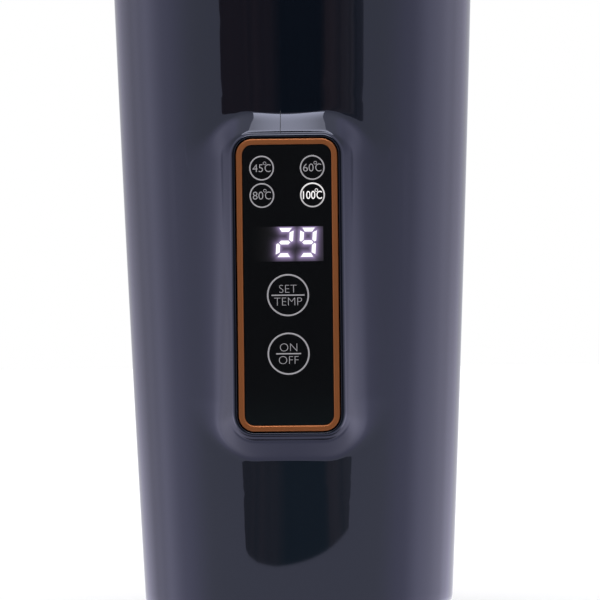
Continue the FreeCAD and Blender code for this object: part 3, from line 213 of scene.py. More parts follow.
# What the pad round the mains inlet has in place of the touch panel's sizes.
INLET_SIZES = {
    "face": 0.0382, "face_lean": 0.0, "bead_rise": 0.0, "shoulder": 0.0,
    "width": 0.0364, "low": 0.0083, "high": 0.041, "corner": 0.005,
    "side_run": 0.141, "foot_run": 0.141, "low_run": 0.261, "high_run": 0.986, "corner_run": 0.28,
    "rim_round": 0.0012, "side_root": 0.0012, "high_root": 0.0010, "low_root": 0.0006,
    "recess_width": 0.0316, "recess_low": 0.0102, "recess_high": 0.0389, "recess_corner": 0.0029,
    "recess_depth": 0.0044, "recess_lip": 0.0003, "ledge": 0.0021, "reach": 0.0034,
    "margin": 0.0245, "margin_low": 0.0043, "margin_high": 0.066,
}


def settings():
    """The kettle's settings in the open scene."""
    return bpy.context.scene.kettle


# Shader helpers


def material_of(name):
    """A material with an empty node tree apart from its shader and output."""
    made = bpy.data.materials.new(name)
    made.use_nodes = True
    tree = made.node_tree
    tree.nodes.clear()
    output = tree.nodes.new("ShaderNodeOutputMaterial")
    shader = tree.nodes.new("ShaderNodeBsdfPrincipled")
    tree.links.new(shader.outputs["BSDF"], output.inputs["Surface"])
    return made, tree, shader


def node(tree, kind, **values):
    """Add a node; names of inputs are written with underscores for spaces."""
    made = tree.nodes.new(f"ShaderNode{kind}")
    for name, value in values.items():
        socket = made.inputs.get(name.replace("_", " "))
        if socket is None:
            setattr(made, name, value)
        else:
            socket.default_value = value
    return made


def math_node(tree, operation, first, second):
    """One step of arithmetic on two values, each a socket or a number."""
    made = tree.nodes.new("ShaderNodeMath")
    made.operation = operation
    for socket, value in zip(made.inputs, (first, second)):
        if isinstance(value, bpy.types.NodeSocket):
            tree.links.new(value, socket)
        else:
            socket.default_value = value
    return made.outputs[0]


def ramp(tree, value, low, high, reach=(0.0, 1.0), gentle=False):
    """Take a value from its own reach to the range from low to high."""
    made = node(tree, "MapRange", interpolation_type="SMOOTHSTEP" if gentle else "LINEAR",
                From_Min=reach[0], From_Max=reach[1], To_Min=low, To_Max=high)
    tree.links.new(value, made.inputs["Value"])
    return made.outputs["Result"]


def place_parts(tree, space="Object"):
    """The X, Y and Z of each place or direction."""
    place = node(tree, "TexCoord")
    parts = node(tree, "SeparateXYZ")
    tree.links.new(place.outputs[space], parts.inputs["Vector"])
    return parts.outputs


def blend_colours(tree, factor, low, high):
    """A mix of two colours, each a socket or written out."""
    made = node(tree, "Mix", data_type="RGBA")
    tree.links.new(factor, made.inputs["Factor"])
    colour_inputs = [socket for socket in made.inputs if socket.type == "RGBA"]
    for socket, shade in zip(colour_inputs, (low, high)):
        if isinstance(shade, bpy.types.NodeSocket):
            tree.links.new(shade, socket)
        else:
            socket.default_value = (*shade, 1.0)
    return next(socket for socket in made.outputs if socket.type == "RGBA")


def colour_bands(tree, share, bands, blend="LINEAR"):
    """Colours at the given shares of the way from 0 to 1, blended between them."""
    made = node(tree, "ValToRGB")
    made.color_ramp.interpolation = blend
    tree.links.new(share, made.inputs["Fac"])
    stops = made.color_ramp.elements
    for position, shade in bands:
        stop = stops[0] if position == 0 else stops[-1] if position == 1 else stops.new(position)
        stop.color = (*shade, 1.0)
    return made.outputs["Color"]


def scaled(shade, factor):
    """A colour made darker or lighter, no lighter than white."""
    return tuple(min(channel * factor, 1.0) for channel in shade)


def new_group(name, inputs, outputs):
    """A shader node group with float inputs and outputs."""
    group = bpy.data.node_groups.new(name, "ShaderNodeTree")
    for label, default in inputs.items():
        socket = group.interface.new_socket(name=label, in_out="INPUT", socket_type="NodeSocketFloat")
        socket.default_value = default
    for label in outputs:
        group.interface.new_socket(name=label, in_out="OUTPUT", socket_type="NodeSocketFloat")
    entry = group.nodes.new("NodeGroupInput")
    leave = group.nodes.new("NodeGroupOutput")
    return group, entry, leave


def moulding_group():
    """Fine grain and slow waves of a moulded surface, as a height, and its cloudy variation as a mask."""
    inputs = {"Grain size": 1500.0, "Wave size": 60.0, "Grain share": 0.5}
    group, entry, leave = new_group("Moulded surface", inputs, ["Height", "Variation"])
    place = node(group, "TexCoord")
    grain = node(group, "TexNoise", Detail=3.0, Roughness=0.6)
    wave = node(group, "TexNoise", Detail=1.0, Roughness=0.4)
    cloud = node(group, "TexNoise", Scale=35.0, Detail=4.0, Roughness=0.55)
    for texture in (grain, wave, cloud):
        group.links.new(place.outputs["Object"], texture.inputs["Vector"])
    group.links.new(entry.outputs["Grain size"], grain.inputs["Scale"])
    group.links.new(entry.outputs["Wave size"], wave.inputs["Scale"])
    share = math_node(group, "MULTIPLY", grain.outputs["Fac"], entry.outputs["Grain share"])
    group.links.new(math_node(group, "ADD", share, wave.outputs["Fac"]), leave.inputs["Height"])
    group.links.new(cloud.outputs["Fac"], leave.inputs["Variation"])
    return group


def brushing_group():
    """Fine lines of turned or drawn metal that run round the Z axis."""
    group, entry, leave = new_group("Turned lines", {"Line size": 4000.0}, ["Height", "Variation"])
    place = node(group, "TexCoord")
    parts = place_parts(group)
    squares = [math_node(group, "POWER", parts[axis], 2.0) for axis in "XY"]
    across = math_node(group, "POWER", math_node(group, "ADD", *squares), 0.5)
    flat = node(group, "CombineXYZ")
    group.links.new(across, flat.inputs["X"])
    group.links.new(parts["Z"], flat.inputs["Z"])
    lines = node(group, "TexNoise", Detail=2.0, Roughness=0.7)
    group.links.new(flat.outputs["Vector"], lines.inputs["Vector"])
    group.links.new(entry.outputs["Line size"], lines.inputs["Scale"])
    cloud = node(group, "TexNoise", Scale=50.0, Detail=3.0)
    group.links.new(place.outputs["Object"], cloud.inputs["Vector"])
    group.links.new(lines.outputs["Fac"], leave.inputs["Height"])
    group.links.new(cloud.outputs["Fac"], leave.inputs["Variation"])
    return group


def smudge_group():
    """Faint handling marks: a mask that is 0 on clean surface."""
    group, entry, leave = new_group("Handling marks", {"Size": 28.0, "Cover": 0.35}, ["Mask"])
    place = node(group, "TexCoord")
    patches = node(group, "TexNoise", Detail=5.0, Roughness=0.65, Distortion=0.6)
    group.links.new(place.outputs["Object"], patches.inputs["Vector"])
    group.links.new(entry.outputs["Size"], patches.inputs["Scale"])
    start = math_node(group, "SUBTRACT", 1.0, entry.outputs["Cover"])
    mask = ramp(group, patches.outputs["Fac"], 0.0, 1.0, gentle=True)
    group.links.new(start, mask.node.inputs["From Min"])
    group.links.new(mask, leave.inputs["Mask"])
    return group


# The shared effects by name, which main fills in.
GROUPS = {}


def use_group(tree, name, **values):
    """Place a shared effect in a material, with its own values."""
    made = node(tree, "Group")
    made.node_tree = GROUPS[name]
    for label, value in values.items():
        made.inputs[label.replace("_", " ")].default_value = value
    return made


def bump(tree, shader, height, distance):
    """Relief of the given depth."""
    made = node(tree, "Bump", Strength=1.0, Distance=distance)
    tree.links.new(height, made.inputs["Height"])
    tree.links.new(made.outputs["Normal"], shader.inputs["Normal"])


def plastic(name, base, roughness, grain_size=1500.0, grain=0.5, relief=0.00002, tint=None, spread=0.05,
            lighter=1.18, **sockets):
    """A moulded plastic or silicone with grain, cloudy colour and handling marks."""
    made, tree, shader = material_of(name)
    surface = use_group(tree, "moulding", Grain_size=grain_size, Grain_share=grain)
    marks = use_group(tree, "smudge")
    shade = blend_colours(tree, surface.outputs["Variation"], base, scaled(base, lighter))
    tree.links.new(shade, shader.inputs["Base Color"])
    rough = ramp(tree, marks.outputs["Mask"], roughness, roughness + spread)
    tree.links.new(rough, shader.inputs["Roughness"])
    bump(tree, shader, surface.outputs["Height"], relief)
    if tint:
        shader.inputs["Specular Tint"].default_value = (*tint, 1.0)
    for label, value in sockets.items():
        shader.inputs[label.replace("_", " ")].default_value = value
    return made


def metal(name, base, roughness, line_size=4000.0, relief=0.000004, spread=0.12, darker=0.86):
    """A metal with turned lines and cloudy gloss."""
    made, tree, shader = material_of(name)
    surface = use_group(tree, "brushing", Line_size=line_size)
    shade = blend_colours(tree, surface.outputs["Variation"], scaled(base, darker), base)
    tree.links.new(shade, shader.inputs["Base Color"])
    rough = ramp(tree, surface.outputs["Variation"], roughness, roughness + spread)
    tree.links.new(rough, shader.inputs["Roughness"])
    shader.inputs["Metallic"].default_value = 1.0
    bump(tree, shader, surface.outputs["Height"], relief)
    return made


def paint(material, *nodes):
    """Give CAD nodes a finish."""
    for name in nodes:
        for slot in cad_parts[name].material_slots:
            slot.material = material


# Mesh helpers


def tidy_mesh(mesh):
    """Weld the points, drop loose ones and turn every face outward."""
    work = bmesh.new()
    work.from_mesh(mesh)
    bmesh.ops.remove_doubles(work, verts=work.verts, dist=1e-7)
    loose = [vertex for vertex in work.verts if not vertex.link_faces]
    bmesh.ops.delete(work, geom=loose, context="VERTS")
    bmesh.ops.recalc_face_normals(work, faces=work.faces)
    work.to_mesh(mesh)
    work.free()


def new_piece(name, mesh, material):
    """A piece made of a mesh, with its finish."""
    made = bpy.data.objects.new(name, mesh)
    bpy.context.scene.collection.objects.link(made)
    mesh.materials.clear()
    mesh.materials.append(material)
    return made


def mesh_object(name, points, faces, material, smooth=True, sheet=False):
    """A new piece. A sheet is left as it is; any other mesh is tidied."""
    mesh = bpy.data.meshes.new(name)
    mesh.from_pydata([tuple(point) for point in points], [], faces)
    if not sheet:
        tidy_mesh(mesh)
    for face in mesh.polygons:
        face.use_smooth = smooth
    return new_piece(name, mesh, material)


def grid_faces(steps_x, steps_z):
    """Faces of a level grid of points, row by row."""
    wide = steps_x + 1
    corners = [row * wide + column for row in range(steps_z) for column in range(steps_x)]
    return [(first, first + 1, first + wide + 1, first + wide) for first in corners]


def rounded_outline(half_x, low, high, corner, steps_x, steps_z, steps_corner):
    """Points anticlockwise round a rounded rectangle from its lower left corner.

    There are steps_x along each level side and steps_z along each upright one, of which steps_corner at
    each end follow the corner's arc."""
    def side(start, along, inward, run, steps):
        arc = math.pi / 4 / steps_corner
        points = []
        for number in range(steps):
            if number < steps_corner:
                angle = math.pi / 4 - arc * number
                travel = corner * (1 - math.sin(angle))
                sink = corner * (1 - math.cos(angle))
            elif number > steps - steps_corner:
                angle = arc * (number - steps + steps_corner)
                travel = run - corner * (1 - math.sin(angle))
                sink = corner * (1 - math.cos(angle))
            else:
                share = (number - steps_corner) / (steps - 2 * steps_corner)
                travel = corner + share * (run - 2 * corner)
                sink = 0.0
            points.append(start + along * travel + inward * sink)
        return points

    right = np.array((1.0, 0.0))
    up = np.array((0.0, 1.0))
    width = 2 * half_x
    height = high - low
    return np.array(
        side(np.array((-half_x, low)), right, up, width, steps_x)
        + side(np.array((half_x, low)), up, -right, height, steps_z)
        + side(np.array((half_x, high)), -right, -up, width, steps_x)
        + side(np.array((-half_x, high)), -up, right, height, steps_z))


def eased(share):
    """A share that is kept from 0 to 1 and starts and ends gently."""
    share = np.clip(share, 0, 1)
    return share * share * (3 - 2 * share)


def smooth_max(first, second, reach):
    """An edge between two surfaces that is rounded over the reach."""
    overlap = np.maximum(reach - np.abs(first - second), 0.0)
    return np.maximum(first, second) + overlap ** 2 / (4 * reach)


def soft_min(first, second, reach):
    """A joint that eases into both surfaces."""
    overlap = np.maximum(reach - np.abs(first - second), 0.0) / reach
    return np.minimum(first, second) - overlap ** 3 * reach / 6


def outline_distance(x, z, half, low, high, corner):
    """Distance outside a rounded rectangle, and how far past the start of its corners each place is."""
    past_x = np.abs(x) - half + corner
    past_z = np.abs(z - (low + high) / 2) - (high - low) / 2 + corner
    outside = np.hypot(np.maximum(past_x, 0), np.maximum(past_z, 0))
    return outside + np.minimum(np.maximum(past_x, past_z), 0) - corner, past_x, past_z


class Wall:
    """The tapered wall: its radius at any height, with the rounded edge under it."""

    def __init__(self, sizes):
        self.sizes = sizes
        self.low = SHELL_LOW.z
        self.high = SHELL_HIGH.z
        slope = (sizes.top_radius - sizes.base_radius + 4 * sizes.bow) / (self.high - self.low)
        self.tilt = math.atan(slope)
        self.edge_z = self.low + sizes.base_round
        self.join_z = self.edge_z - sizes.base_round * math.sin(self.tilt)
        self.edge_r = float(self.taper(self.join_z)) - sizes.base_round * math.cos(self.tilt)

    def taper(self, z):
        """Radius of the bowed taper, without the rounded edge."""
        share = (z - self.low) / (self.high - self.low)
        sizes = self.sizes
        straight = sizes.base_radius + (sizes.top_radius - sizes.base_radius) * share
        return straight + 4 * sizes.bow * share * (1 - share)

    def radius(self, z):
        """Radius of the wall, with the rounded edge."""
        drop = np.clip(self.edge_z - z, 0.0, self.sizes.base_round)
        edge = self.edge_r + np.sqrt(self.sizes.base_round ** 2 - drop ** 2)
        return np.where(z < self.join_z, edge, self.taper(z))


# How much the bead's half width, low edge, high edge and corner grow for each unit of depth.
BEAD_RUNS = (1.0, -0.5, 0.8, 0.9)


class Boss:
    """A raised pad on the wall, found as the surface where a rounded distance is zero."""

    def __init__(self, wall, sizes, facing):
        self.wall = wall
        self.sizes = sizes
        self.facing = facing
        self.top = sizes.face + sizes.bead_rise

    def raised(self, x, z, depth, top, runs, rim, limit, fall=0.0):
        """Distance to a block with leaning sides and a top that falls back by the given amount.

        top holds the half width, the low and high edges and the corner at depth 0. runs holds how much each
        grows for a unit of depth, down to a limit."""
        least_corner = 0.0001
        tiny = 1e-12
        sunk = np.minimum(depth, limit)
        half, low, high, corner = (start + grow * sunk for start, grow in zip(top, runs))
        flank, past_x, past_z = outline_distance(x, z, half, low, high, np.maximum(corner, least_corner))
        lean_x = np.maximum(past_x, 0) ** 2 + tiny
        lean_z = np.maximum(past_z, 0) ** 2 + tiny
        run_z = np.where(z > (low + high) / 2, runs[2], -runs[1])
        run = np.sqrt((lean_x * runs[0] ** 2 + lean_z * run_z ** 2) / (lean_x + lean_z))
        steep = 1 / np.sqrt(1 + run ** 2)
        return smooth_max(fall - depth, flank * steep, rim * (1 - run * steep))

    def shoulder(self, x, z):
        """How far the face falls back outside the bead: along the sides, steeper at the foot.

        Near the top it runs out."""
        sizes = self.sizes
        beyond, _, _ = outline_distance(x, z, sizes.recess_width / 2, sizes.recess_low, sizes.recess_high,
                                        sizes.recess_corner)
        climb = np.clip((z - sizes.recess_low) / sizes.recess_corner, 0, 1)
        steepness = sizes.shoulder_foot + (1 - sizes.shoulder_foot) * climb
        slope = np.clip((beyond - sizes.bead_width - sizes.bead_rise) * steepness, 0, sizes.shoulder)
        fade_end = sizes.recess_high + sizes.shoulder_fade / 4
        return slope * eased((fade_end - z) / sizes.shoulder_fade)

    def distance(self, x, out, z):
        """Below 0 inside the wall or the pad; out is the distance from the axis towards the pad."""
        sizes = self.sizes
        lean = sizes.face_lean * np.maximum(sizes.high - z, 0)
        sag = x ** 2 / (2 * sizes.face)
        crown = sizes.face - float(self.wall.radius(sizes.high))
        wrap = crown / (crown + sag)
        foot = sizes.face - sizes.face_lean * (sizes.high - sizes.low) - float(self.wall.radius(sizes.low))
        wrap_low = foot / (foot + sag)
        rise = eased((z - sizes.foot_low) / (sizes.foot_high - sizes.foot_low))
        side_run = sizes.foot_run + (sizes.side_run - sizes.foot_run) * rise
        pad = self.raised(x, z, sizes.face - lean - out,
                          (sizes.width / 2, sizes.low, sizes.high, sizes.corner),
                          (side_run, -sizes.low_run * wrap_low, sizes.high_run * wrap, sizes.corner_run),
                          sizes.rim_round, sizes.face, self.shoulder(x, z) - lean)
        wall = np.hypot(x, out) - self.wall.radius(z)
        over = np.clip((z - sizes.high + sizes.corner) / sizes.corner, 0, 1)
        root_climb = 2.5 * sizes.corner
        climb = np.clip((z - sizes.low + sizes.corner) / root_climb, 0, 1)
        root = sizes.low_root + (sizes.side_root - sizes.low_root) * climb
        root = root + (sizes.high_root - root) * over
        solid = soft_min(pad, wall, root)
        if sizes.bead_rise:
            grow = sizes.bead_width
            bead = self.raised(x, z, self.top - out,
                               (sizes.recess_width / 2 + grow, sizes.recess_low - grow,
                                sizes.recess_high + grow, sizes.recess_corner + grow),
                               BEAD_RUNS, sizes.bead_width, sizes.bead_rise)
            solid = np.minimum(solid, bead)
        return solid

    def surface(self, x, z):
        """How far out the surface lies at each place, by halving."""
        inmost, outmost, halvings = 0.02, 0.06, 40
        near = np.full_like(x, inmost)
        far = np.full_like(x, outmost)
        for _ in range(halvings):
            middle = (near + far) / 2
            inside = self.distance(x, middle, z) < 0
            near = np.where(inside, middle, near)
            far = np.where(inside, far, middle)
        return (near + far) / 2

    def place(self, outline, out):
        """Points in space for an outline seen from the pad's own front."""
        return np.column_stack((outline[:, 0], self.facing * out, outline[:, 1]))

    def loops(self, border, steps_x, steps_z):
        """Rings of points from the wall's mesh in to the recess's floor. border holds the outer ring."""
        sizes = self.sizes
        steps_corner, far_rings, lip_steps = 6, 9, 4
        fine_reach, coarse_step, fine_step = 0.0065, 0.0004, 0.00015

        def outline(offset):
            return rounded_outline(sizes.recess_width / 2 + offset, sizes.recess_low - offset,
                                   sizes.recess_high + offset, sizes.recess_corner + offset,
                                   steps_x, steps_z, steps_corner)

        rings = []
        edge = outline(sizes.reach)
        for number in range(1, far_rings):
            share = number / far_rings
            ring = border * (1 - share) + edge * share
            rings.append(self.place(ring, self.surface(ring[:, 0], ring[:, 1])))
        near = min(fine_reach, sizes.reach / 2)
        coarse = np.linspace(sizes.reach, near, round((sizes.reach - near) / coarse_step), endpoint=False)
        fine = np.linspace(near, sizes.recess_lip, round((near - sizes.recess_lip) / fine_step))
        for offset in (*coarse, *fine):
            ring = outline(offset)
            rings.append(self.place(ring, self.surface(ring[:, 0], ring[:, 1])))
        lip = sizes.recess_lip
        for number in range(1, lip_steps + 1):
            angle = math.pi / 2 * number / lip_steps
            ring = outline(lip * (1 - math.sin(angle)))
            rings.append(self.place(ring, np.full(len(ring), self.top - lip * (1 - math.cos(angle)))))
        floor = self.top - sizes.recess_depth
        for offset, out in ((0.0, floor + lip), (0.0, floor), (-lip, floor), (-sizes.ledge, floor)):
            ring = outline(offset)
            rings.append(self.place(ring, np.full(len(ring), out)))
        return rings


def shell_columns(front, rear):
    """Angles round the wall from the panel's middle, fine across the two pads."""
    front_steps, side_steps, rear_steps = 44, 40, 44
    front_radius, rear_radius = 0.041, 0.0368
    half_turn = math.pi
    front_angle = math.asin(front.margin / front_radius)
    rear_angle = math.asin(rear.margin / rear_radius)
    columns = list(np.linspace(-front_angle, front_angle, front_steps + 1))
    columns += list(np.linspace(front_angle, half_turn - rear_angle, side_steps + 1))[1:]
    columns += list(np.linspace(half_turn - rear_angle, half_turn + rear_angle, rear_steps + 1))[1:]
    columns += list(np.linspace(half_turn + rear_angle, 2 * half_turn - front_angle, side_steps + 1))[1:-1]
    return np.array(columns), front_steps, side_steps, rear_steps


def shell_rows(wall, front, rear):
    """Radius and height of each row from under the base to the mouth, with rows on each pad's limits."""
    sizes = wall.sizes
    arc_steps, rim_steps, row_step = 8, 4, 0.0016
    rows = [(sizes.underside_radius, wall.low), (wall.edge_r, wall.low)]
    for number in range(1, arc_steps):
        angle = -math.pi / 2 + (math.pi / 2 - wall.tilt) * number / arc_steps
        z = wall.edge_z + sizes.base_round * math.sin(angle)
        rows.append((wall.edge_r + sizes.base_round * math.cos(angle), z))
    limits = [wall.join_z, front.margin_low, rear.margin_high, front.margin_high, wall.high - sizes.top_round]
    for low, high in zip(limits, limits[1:]):
        count = max(2, round((high - low) / row_step))
        rows += [(float(wall.taper(z)), z) for z in np.linspace(low, high, count + 1)[:-1]]
    for number in range(rim_steps + 1):
        angle = math.pi / 2 * number / rim_steps
        radius = float(wall.taper(limits[-1])) - sizes.top_round * (1 - math.cos(angle))
        rows.append((radius, limits[-1] + sizes.top_round * math.sin(angle)))
    rows.append((sizes.mouth_radius, wall.high))
    return rows


def nearest(values, wanted):
    """Which of the values is nearest to the wanted one."""
    return int(np.argmin(np.abs(np.array(values) - wanted)))


def build_shell_mesh(sizes, front_sizes, rear_sizes):
    """Points and faces of the moulding's outer skin."""
    wall = Wall(sizes)
    columns, front_steps, side_steps, rear_steps = shell_columns(front_sizes, rear_sizes)
    rows = shell_rows(wall, front_sizes, rear_sizes)
    heights = [z for _, z in rows]
    count = len(columns)
    points = [(radius * math.sin(angle), -radius * math.cos(angle), z)
              for radius, z in rows for angle in columns]
    rear_start = front_steps + side_steps
    windows = [
        (Boss(wall, front_sizes, -1), 0, front_steps, nearest(heights, front_sizes.margin_low),
         nearest(heights, front_sizes.margin_high)),
        (Boss(wall, rear_sizes, 1), rear_start, rear_start + rear_steps,
         nearest(heights[:-2], rear_sizes.margin_low), nearest(heights, rear_sizes.margin_high)),
    ]

    def in_window(row, column):
        return any(first <= column < last and low <= row < high for _, first, last, low, high in windows)

    faces = []
    for row in range(len(rows) - 1):
        for column in range(count):
            if in_window(row, column):
                continue
            after = (column + 1) % count
            faces.append((row * count + column, row * count + after,
                          (row + 1) * count + after, (row + 1) * count + column))
    for boss, first, last, low, high in windows:
        ring = [low * count + column for column in range(first, last)]
        ring += [row * count + last for row in range(low, high)]
        ring += [high * count + column for column in range(last, first, -1)]
        ring += [row * count + first for row in range(high, low, -1)]
        border = np.array([(points[index][0], points[index][2]) for index in ring])
        if boss.facing > 0:
            border[:, 0] *= -1
        for loop in boss.loops(border, last - first, high - low):
            if boss.facing > 0:
                loop[:, 0] *= -1
            start = len(points)
            points.extend(map(tuple, loop))
            fresh = list(range(start, len(points)))
            size = len(fresh)
            for index in range(size):
                after = (index + 1) % size
                faces.append((ring[index], ring[after], fresh[after], fresh[index]))
            ring = fresh
    return points, faces


def parting_line(chosen, material):
    """The fine mould line that crosses the slope above the touch panel."""
    boss = Boss(Wall(chosen.shell), chosen.surround, -1)
    steps = 60
    middle, half, depth, stand = -0.0013, 0.00007, 0.00008, 0.0000096
    start = chosen.surround.recess_high + 0.0006
    end = chosen.surround.high + 0.0046
    heights = np.linspace(start, end, steps + 1)
    points = []
    for side, sink in ((-half, depth), (-half, -stand), (half, -stand), (half, depth)):
        places = np.full_like(heights, middle + side)
        points.append(np.column_stack((places, -boss.surface(places, heights) + sink, heights)))
    size = steps + 1
    faces = [(3 * size, 2 * size, size, 0), (steps, size + steps, 2 * size + steps, 3 * size + steps)]
    for edge in range(4):
        after = (edge + 1) % 4
        faces += [(edge * size + step, after * size + step, after * size + step + 1, edge * size + step + 1)
                  for step in range(steps)]
    line = mesh_object("parting_line", np.vstack(points), faces, material)
    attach(line, "kettle")


class KETTLE_OT_shell(bpy.types.Operator):
    """Build the glossy moulding with its two raised pads"""
    bl_idname = "kettle.shell"
    bl_label = "Shell"

    def execute(self, context):
        chosen = settings()
        colours = chosen.colours
        gloss = plastic("gloss_navy", colours.body, roughness=0.045, grain=0.0, relief=0.000012,
                        tint=colours.body_gloss, lighter=1.1)
        points, faces = build_shell_mesh(chosen.shell, chosen.surround, chosen.inlet)
        skin = mesh_object("shell_skin", points, faces, gloss)
        plain = skin.vertex_groups.new(name="plain_wall")
        off_pads = [point.index for point in skin.data.vertices if not self.on_pad(point.co, chosen)]
        plain.add(off_pads, 1.0, "REPLACE")
        thickness = skin.modifiers.new("wall", "SOLIDIFY")
        thickness.thickness = chosen.shell.skin
        thickness.offset = -1.0
        thickness.vertex_group = plain.name
        thickness.thickness_vertex_group = chosen.shell.pad_skin / chosen.shell.skin
        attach(skin, "kettle")
        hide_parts("outer_shell")
        seam_shade = scaled(colours.body, 0.4)
        seam = plastic("mould_line", seam_shade, roughness=0.6, relief=0.000004)
        parting_line(chosen, seam)
        return {"FINISHED"}

    def on_pad(self, place, chosen):
        """Whether a place belongs to one of the raised pads, where the wall is thin."""
        for pad, facing in ((chosen.surround, -1), (chosen.inlet, 1)):
            within = abs(place.x) < pad.margin and pad.margin_low < place.z < pad.margin_high
            if within and place.y * facing > 0:
                return True
        return False


def flat_solid(name, outlines, depth, front, material):
    """A thin solid with the given outlines, seen from the front and standing on the window."""
    work = bmesh.new()
    for outline in outlines:
        corners = [work.verts.new((x, front + depth, z)) for x, z in outline]
        face = work.faces.new(corners)
        raised = bmesh.ops.extrude_face_region(work, geom=[face])
        moved = [item for item in raised["geom"] if isinstance(item, bmesh.types.BMVert)]
        bmesh.ops.translate(work, verts=moved, vec=(0, -depth, 0))
    bmesh.ops.recalc_face_normals(work, faces=work.faces)
    mesh = bpy.data.meshes.new(name)
    work.to_mesh(mesh)
    work.free()
    return new_piece(name, mesh, material)


def ring_print(name, middle, radius, line, front, relief, material):
    """A printed ring: a flat band with bevelled edges."""
    steps, bevel = 72, 0.15
    section = [(radius, 0.0), (radius - line * bevel, relief), (radius - line * (1 - bevel), relief),
               (radius - line, 0.0)]
    points = []
    faces = []
    size = len(section)
    for step in range(steps):
        angle = 2 * math.pi * step / steps
        after = (step + 1) % steps
        for reach, rise in section:
            points.append((middle[0] + reach * math.cos(angle), front - rise,
                           middle[1] + reach * math.sin(angle)))
        for part in range(size):
            follows = (part + 1) % size
            faces.append((step * size + part, after * size + part, after * size + follows,
                          step * size + follows))
    return mesh_object(name, points, faces, material)


def text_print(name, words, middle, height, weight, front, relief, material, width=None):
    """Printed capitals or figures with their middle at a place, drawn out to a width if one is given."""
    cap_share = 0.729
    curve = bpy.data.curves.new(name, "FONT")
    curve.body = words
    curve.size = height / cap_share
    curve.align_x = "CENTER"
    curve.extrude = relief
    curve.offset = weight
    curve.resolution_u = 6
    shaper = bpy.data.objects.new(name, curve)
    bpy.context.scene.collection.objects.link(shaper)
    bpy.context.view_layer.update()
    seen = shaper.evaluated_get(bpy.context.evaluated_depsgraph_get())
    mesh = bpy.data.meshes.new_from_object(seen)
    bpy.data.objects.remove(shaper)
    if width:
        across = [vertex.co.x for vertex in mesh.vertices]
        mesh.transform(Matrix.Diagonal((width / (max(across) - min(across)), 1.0, 1.0, 1.0)))
    mesh.transform(Matrix.Rotation(math.pi / 2, 4, "X"))
    xs = [vertex.co.x for vertex in mesh.vertices]
    zs = [vertex.co.z for vertex in mesh.vertices]
    shift = Vector((middle[0] - (min(xs) + max(xs)) / 2, front, middle[1] - (min(zs) + max(zs)) / 2))
    mesh.transform(Matrix.Translation(shift))
    tidy_mesh(mesh)
    return new_piece(name, mesh, material)


def joined(name, pieces):
    """Join several prints into one named piece that rides on the kettle."""
    with bpy.context.temp_override(active_object=pieces[0], selected_editable_objects=pieces,
                                   selected_objects=pieces, object=pieces[0]):
        bpy.ops.object.join()
    pieces[0].name = name
    pieces[0].data.name = name
    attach(pieces[0], "kettle")


def glowing(name, tint, ink, strength, dimmest=1.0, heights=None):
    """Print that a lamp shines through. Between two heights, if they are given, it fades down to a share."""
    made, tree, shader = material_of(name)
    variation = use_group(tree, "moulding").outputs["Variation"]
    darkest = 0.93
    shade = blend_colours(tree, variation, scaled(tint, darkest), tint)
    if heights:
        faint = scaled(tint, dimmest)
        foot = blend_colours(tree, variation, scaled(faint, darkest), faint)
        level = ramp(tree, place_parts(tree)["Z"], 0.0, 1.0, reach=heights)
        shade = blend_colours(tree, level, foot, shade)
    tree.links.new(shade, shader.inputs["Emission Color"])
    shader.inputs["Emission Strength"].default_value = strength
    shader.inputs["Base Color"].default_value = (*ink, 1.0)
    shader.inputs["Roughness"].default_value = 0.5
    return made


# Figures, side and row of each temperature mark, and the one that is lit.
MARKS = (("45", -1, "high"), ("60", 1, "high"), ("80", -1, "low"), ("100", 1, "low"))
LIT_MARK = "100"
# By the count of figures: where the figures start and end and where the C does, from the mark's middle.
MARK_COLUMNS = {2: (-0.0020, 0.0003, 0.0007, 0.0020), 3: (-0.0021, 0.00062, 0.00088, 0.0021)}
# Strength of the lit mark's ring at its foot and at its top.
RING_LIGHT = (0.12, 0.62)
# Length of the line between the words of each touch key.
SET_LINE = 0.0073
POWER_LINE = 0.0055


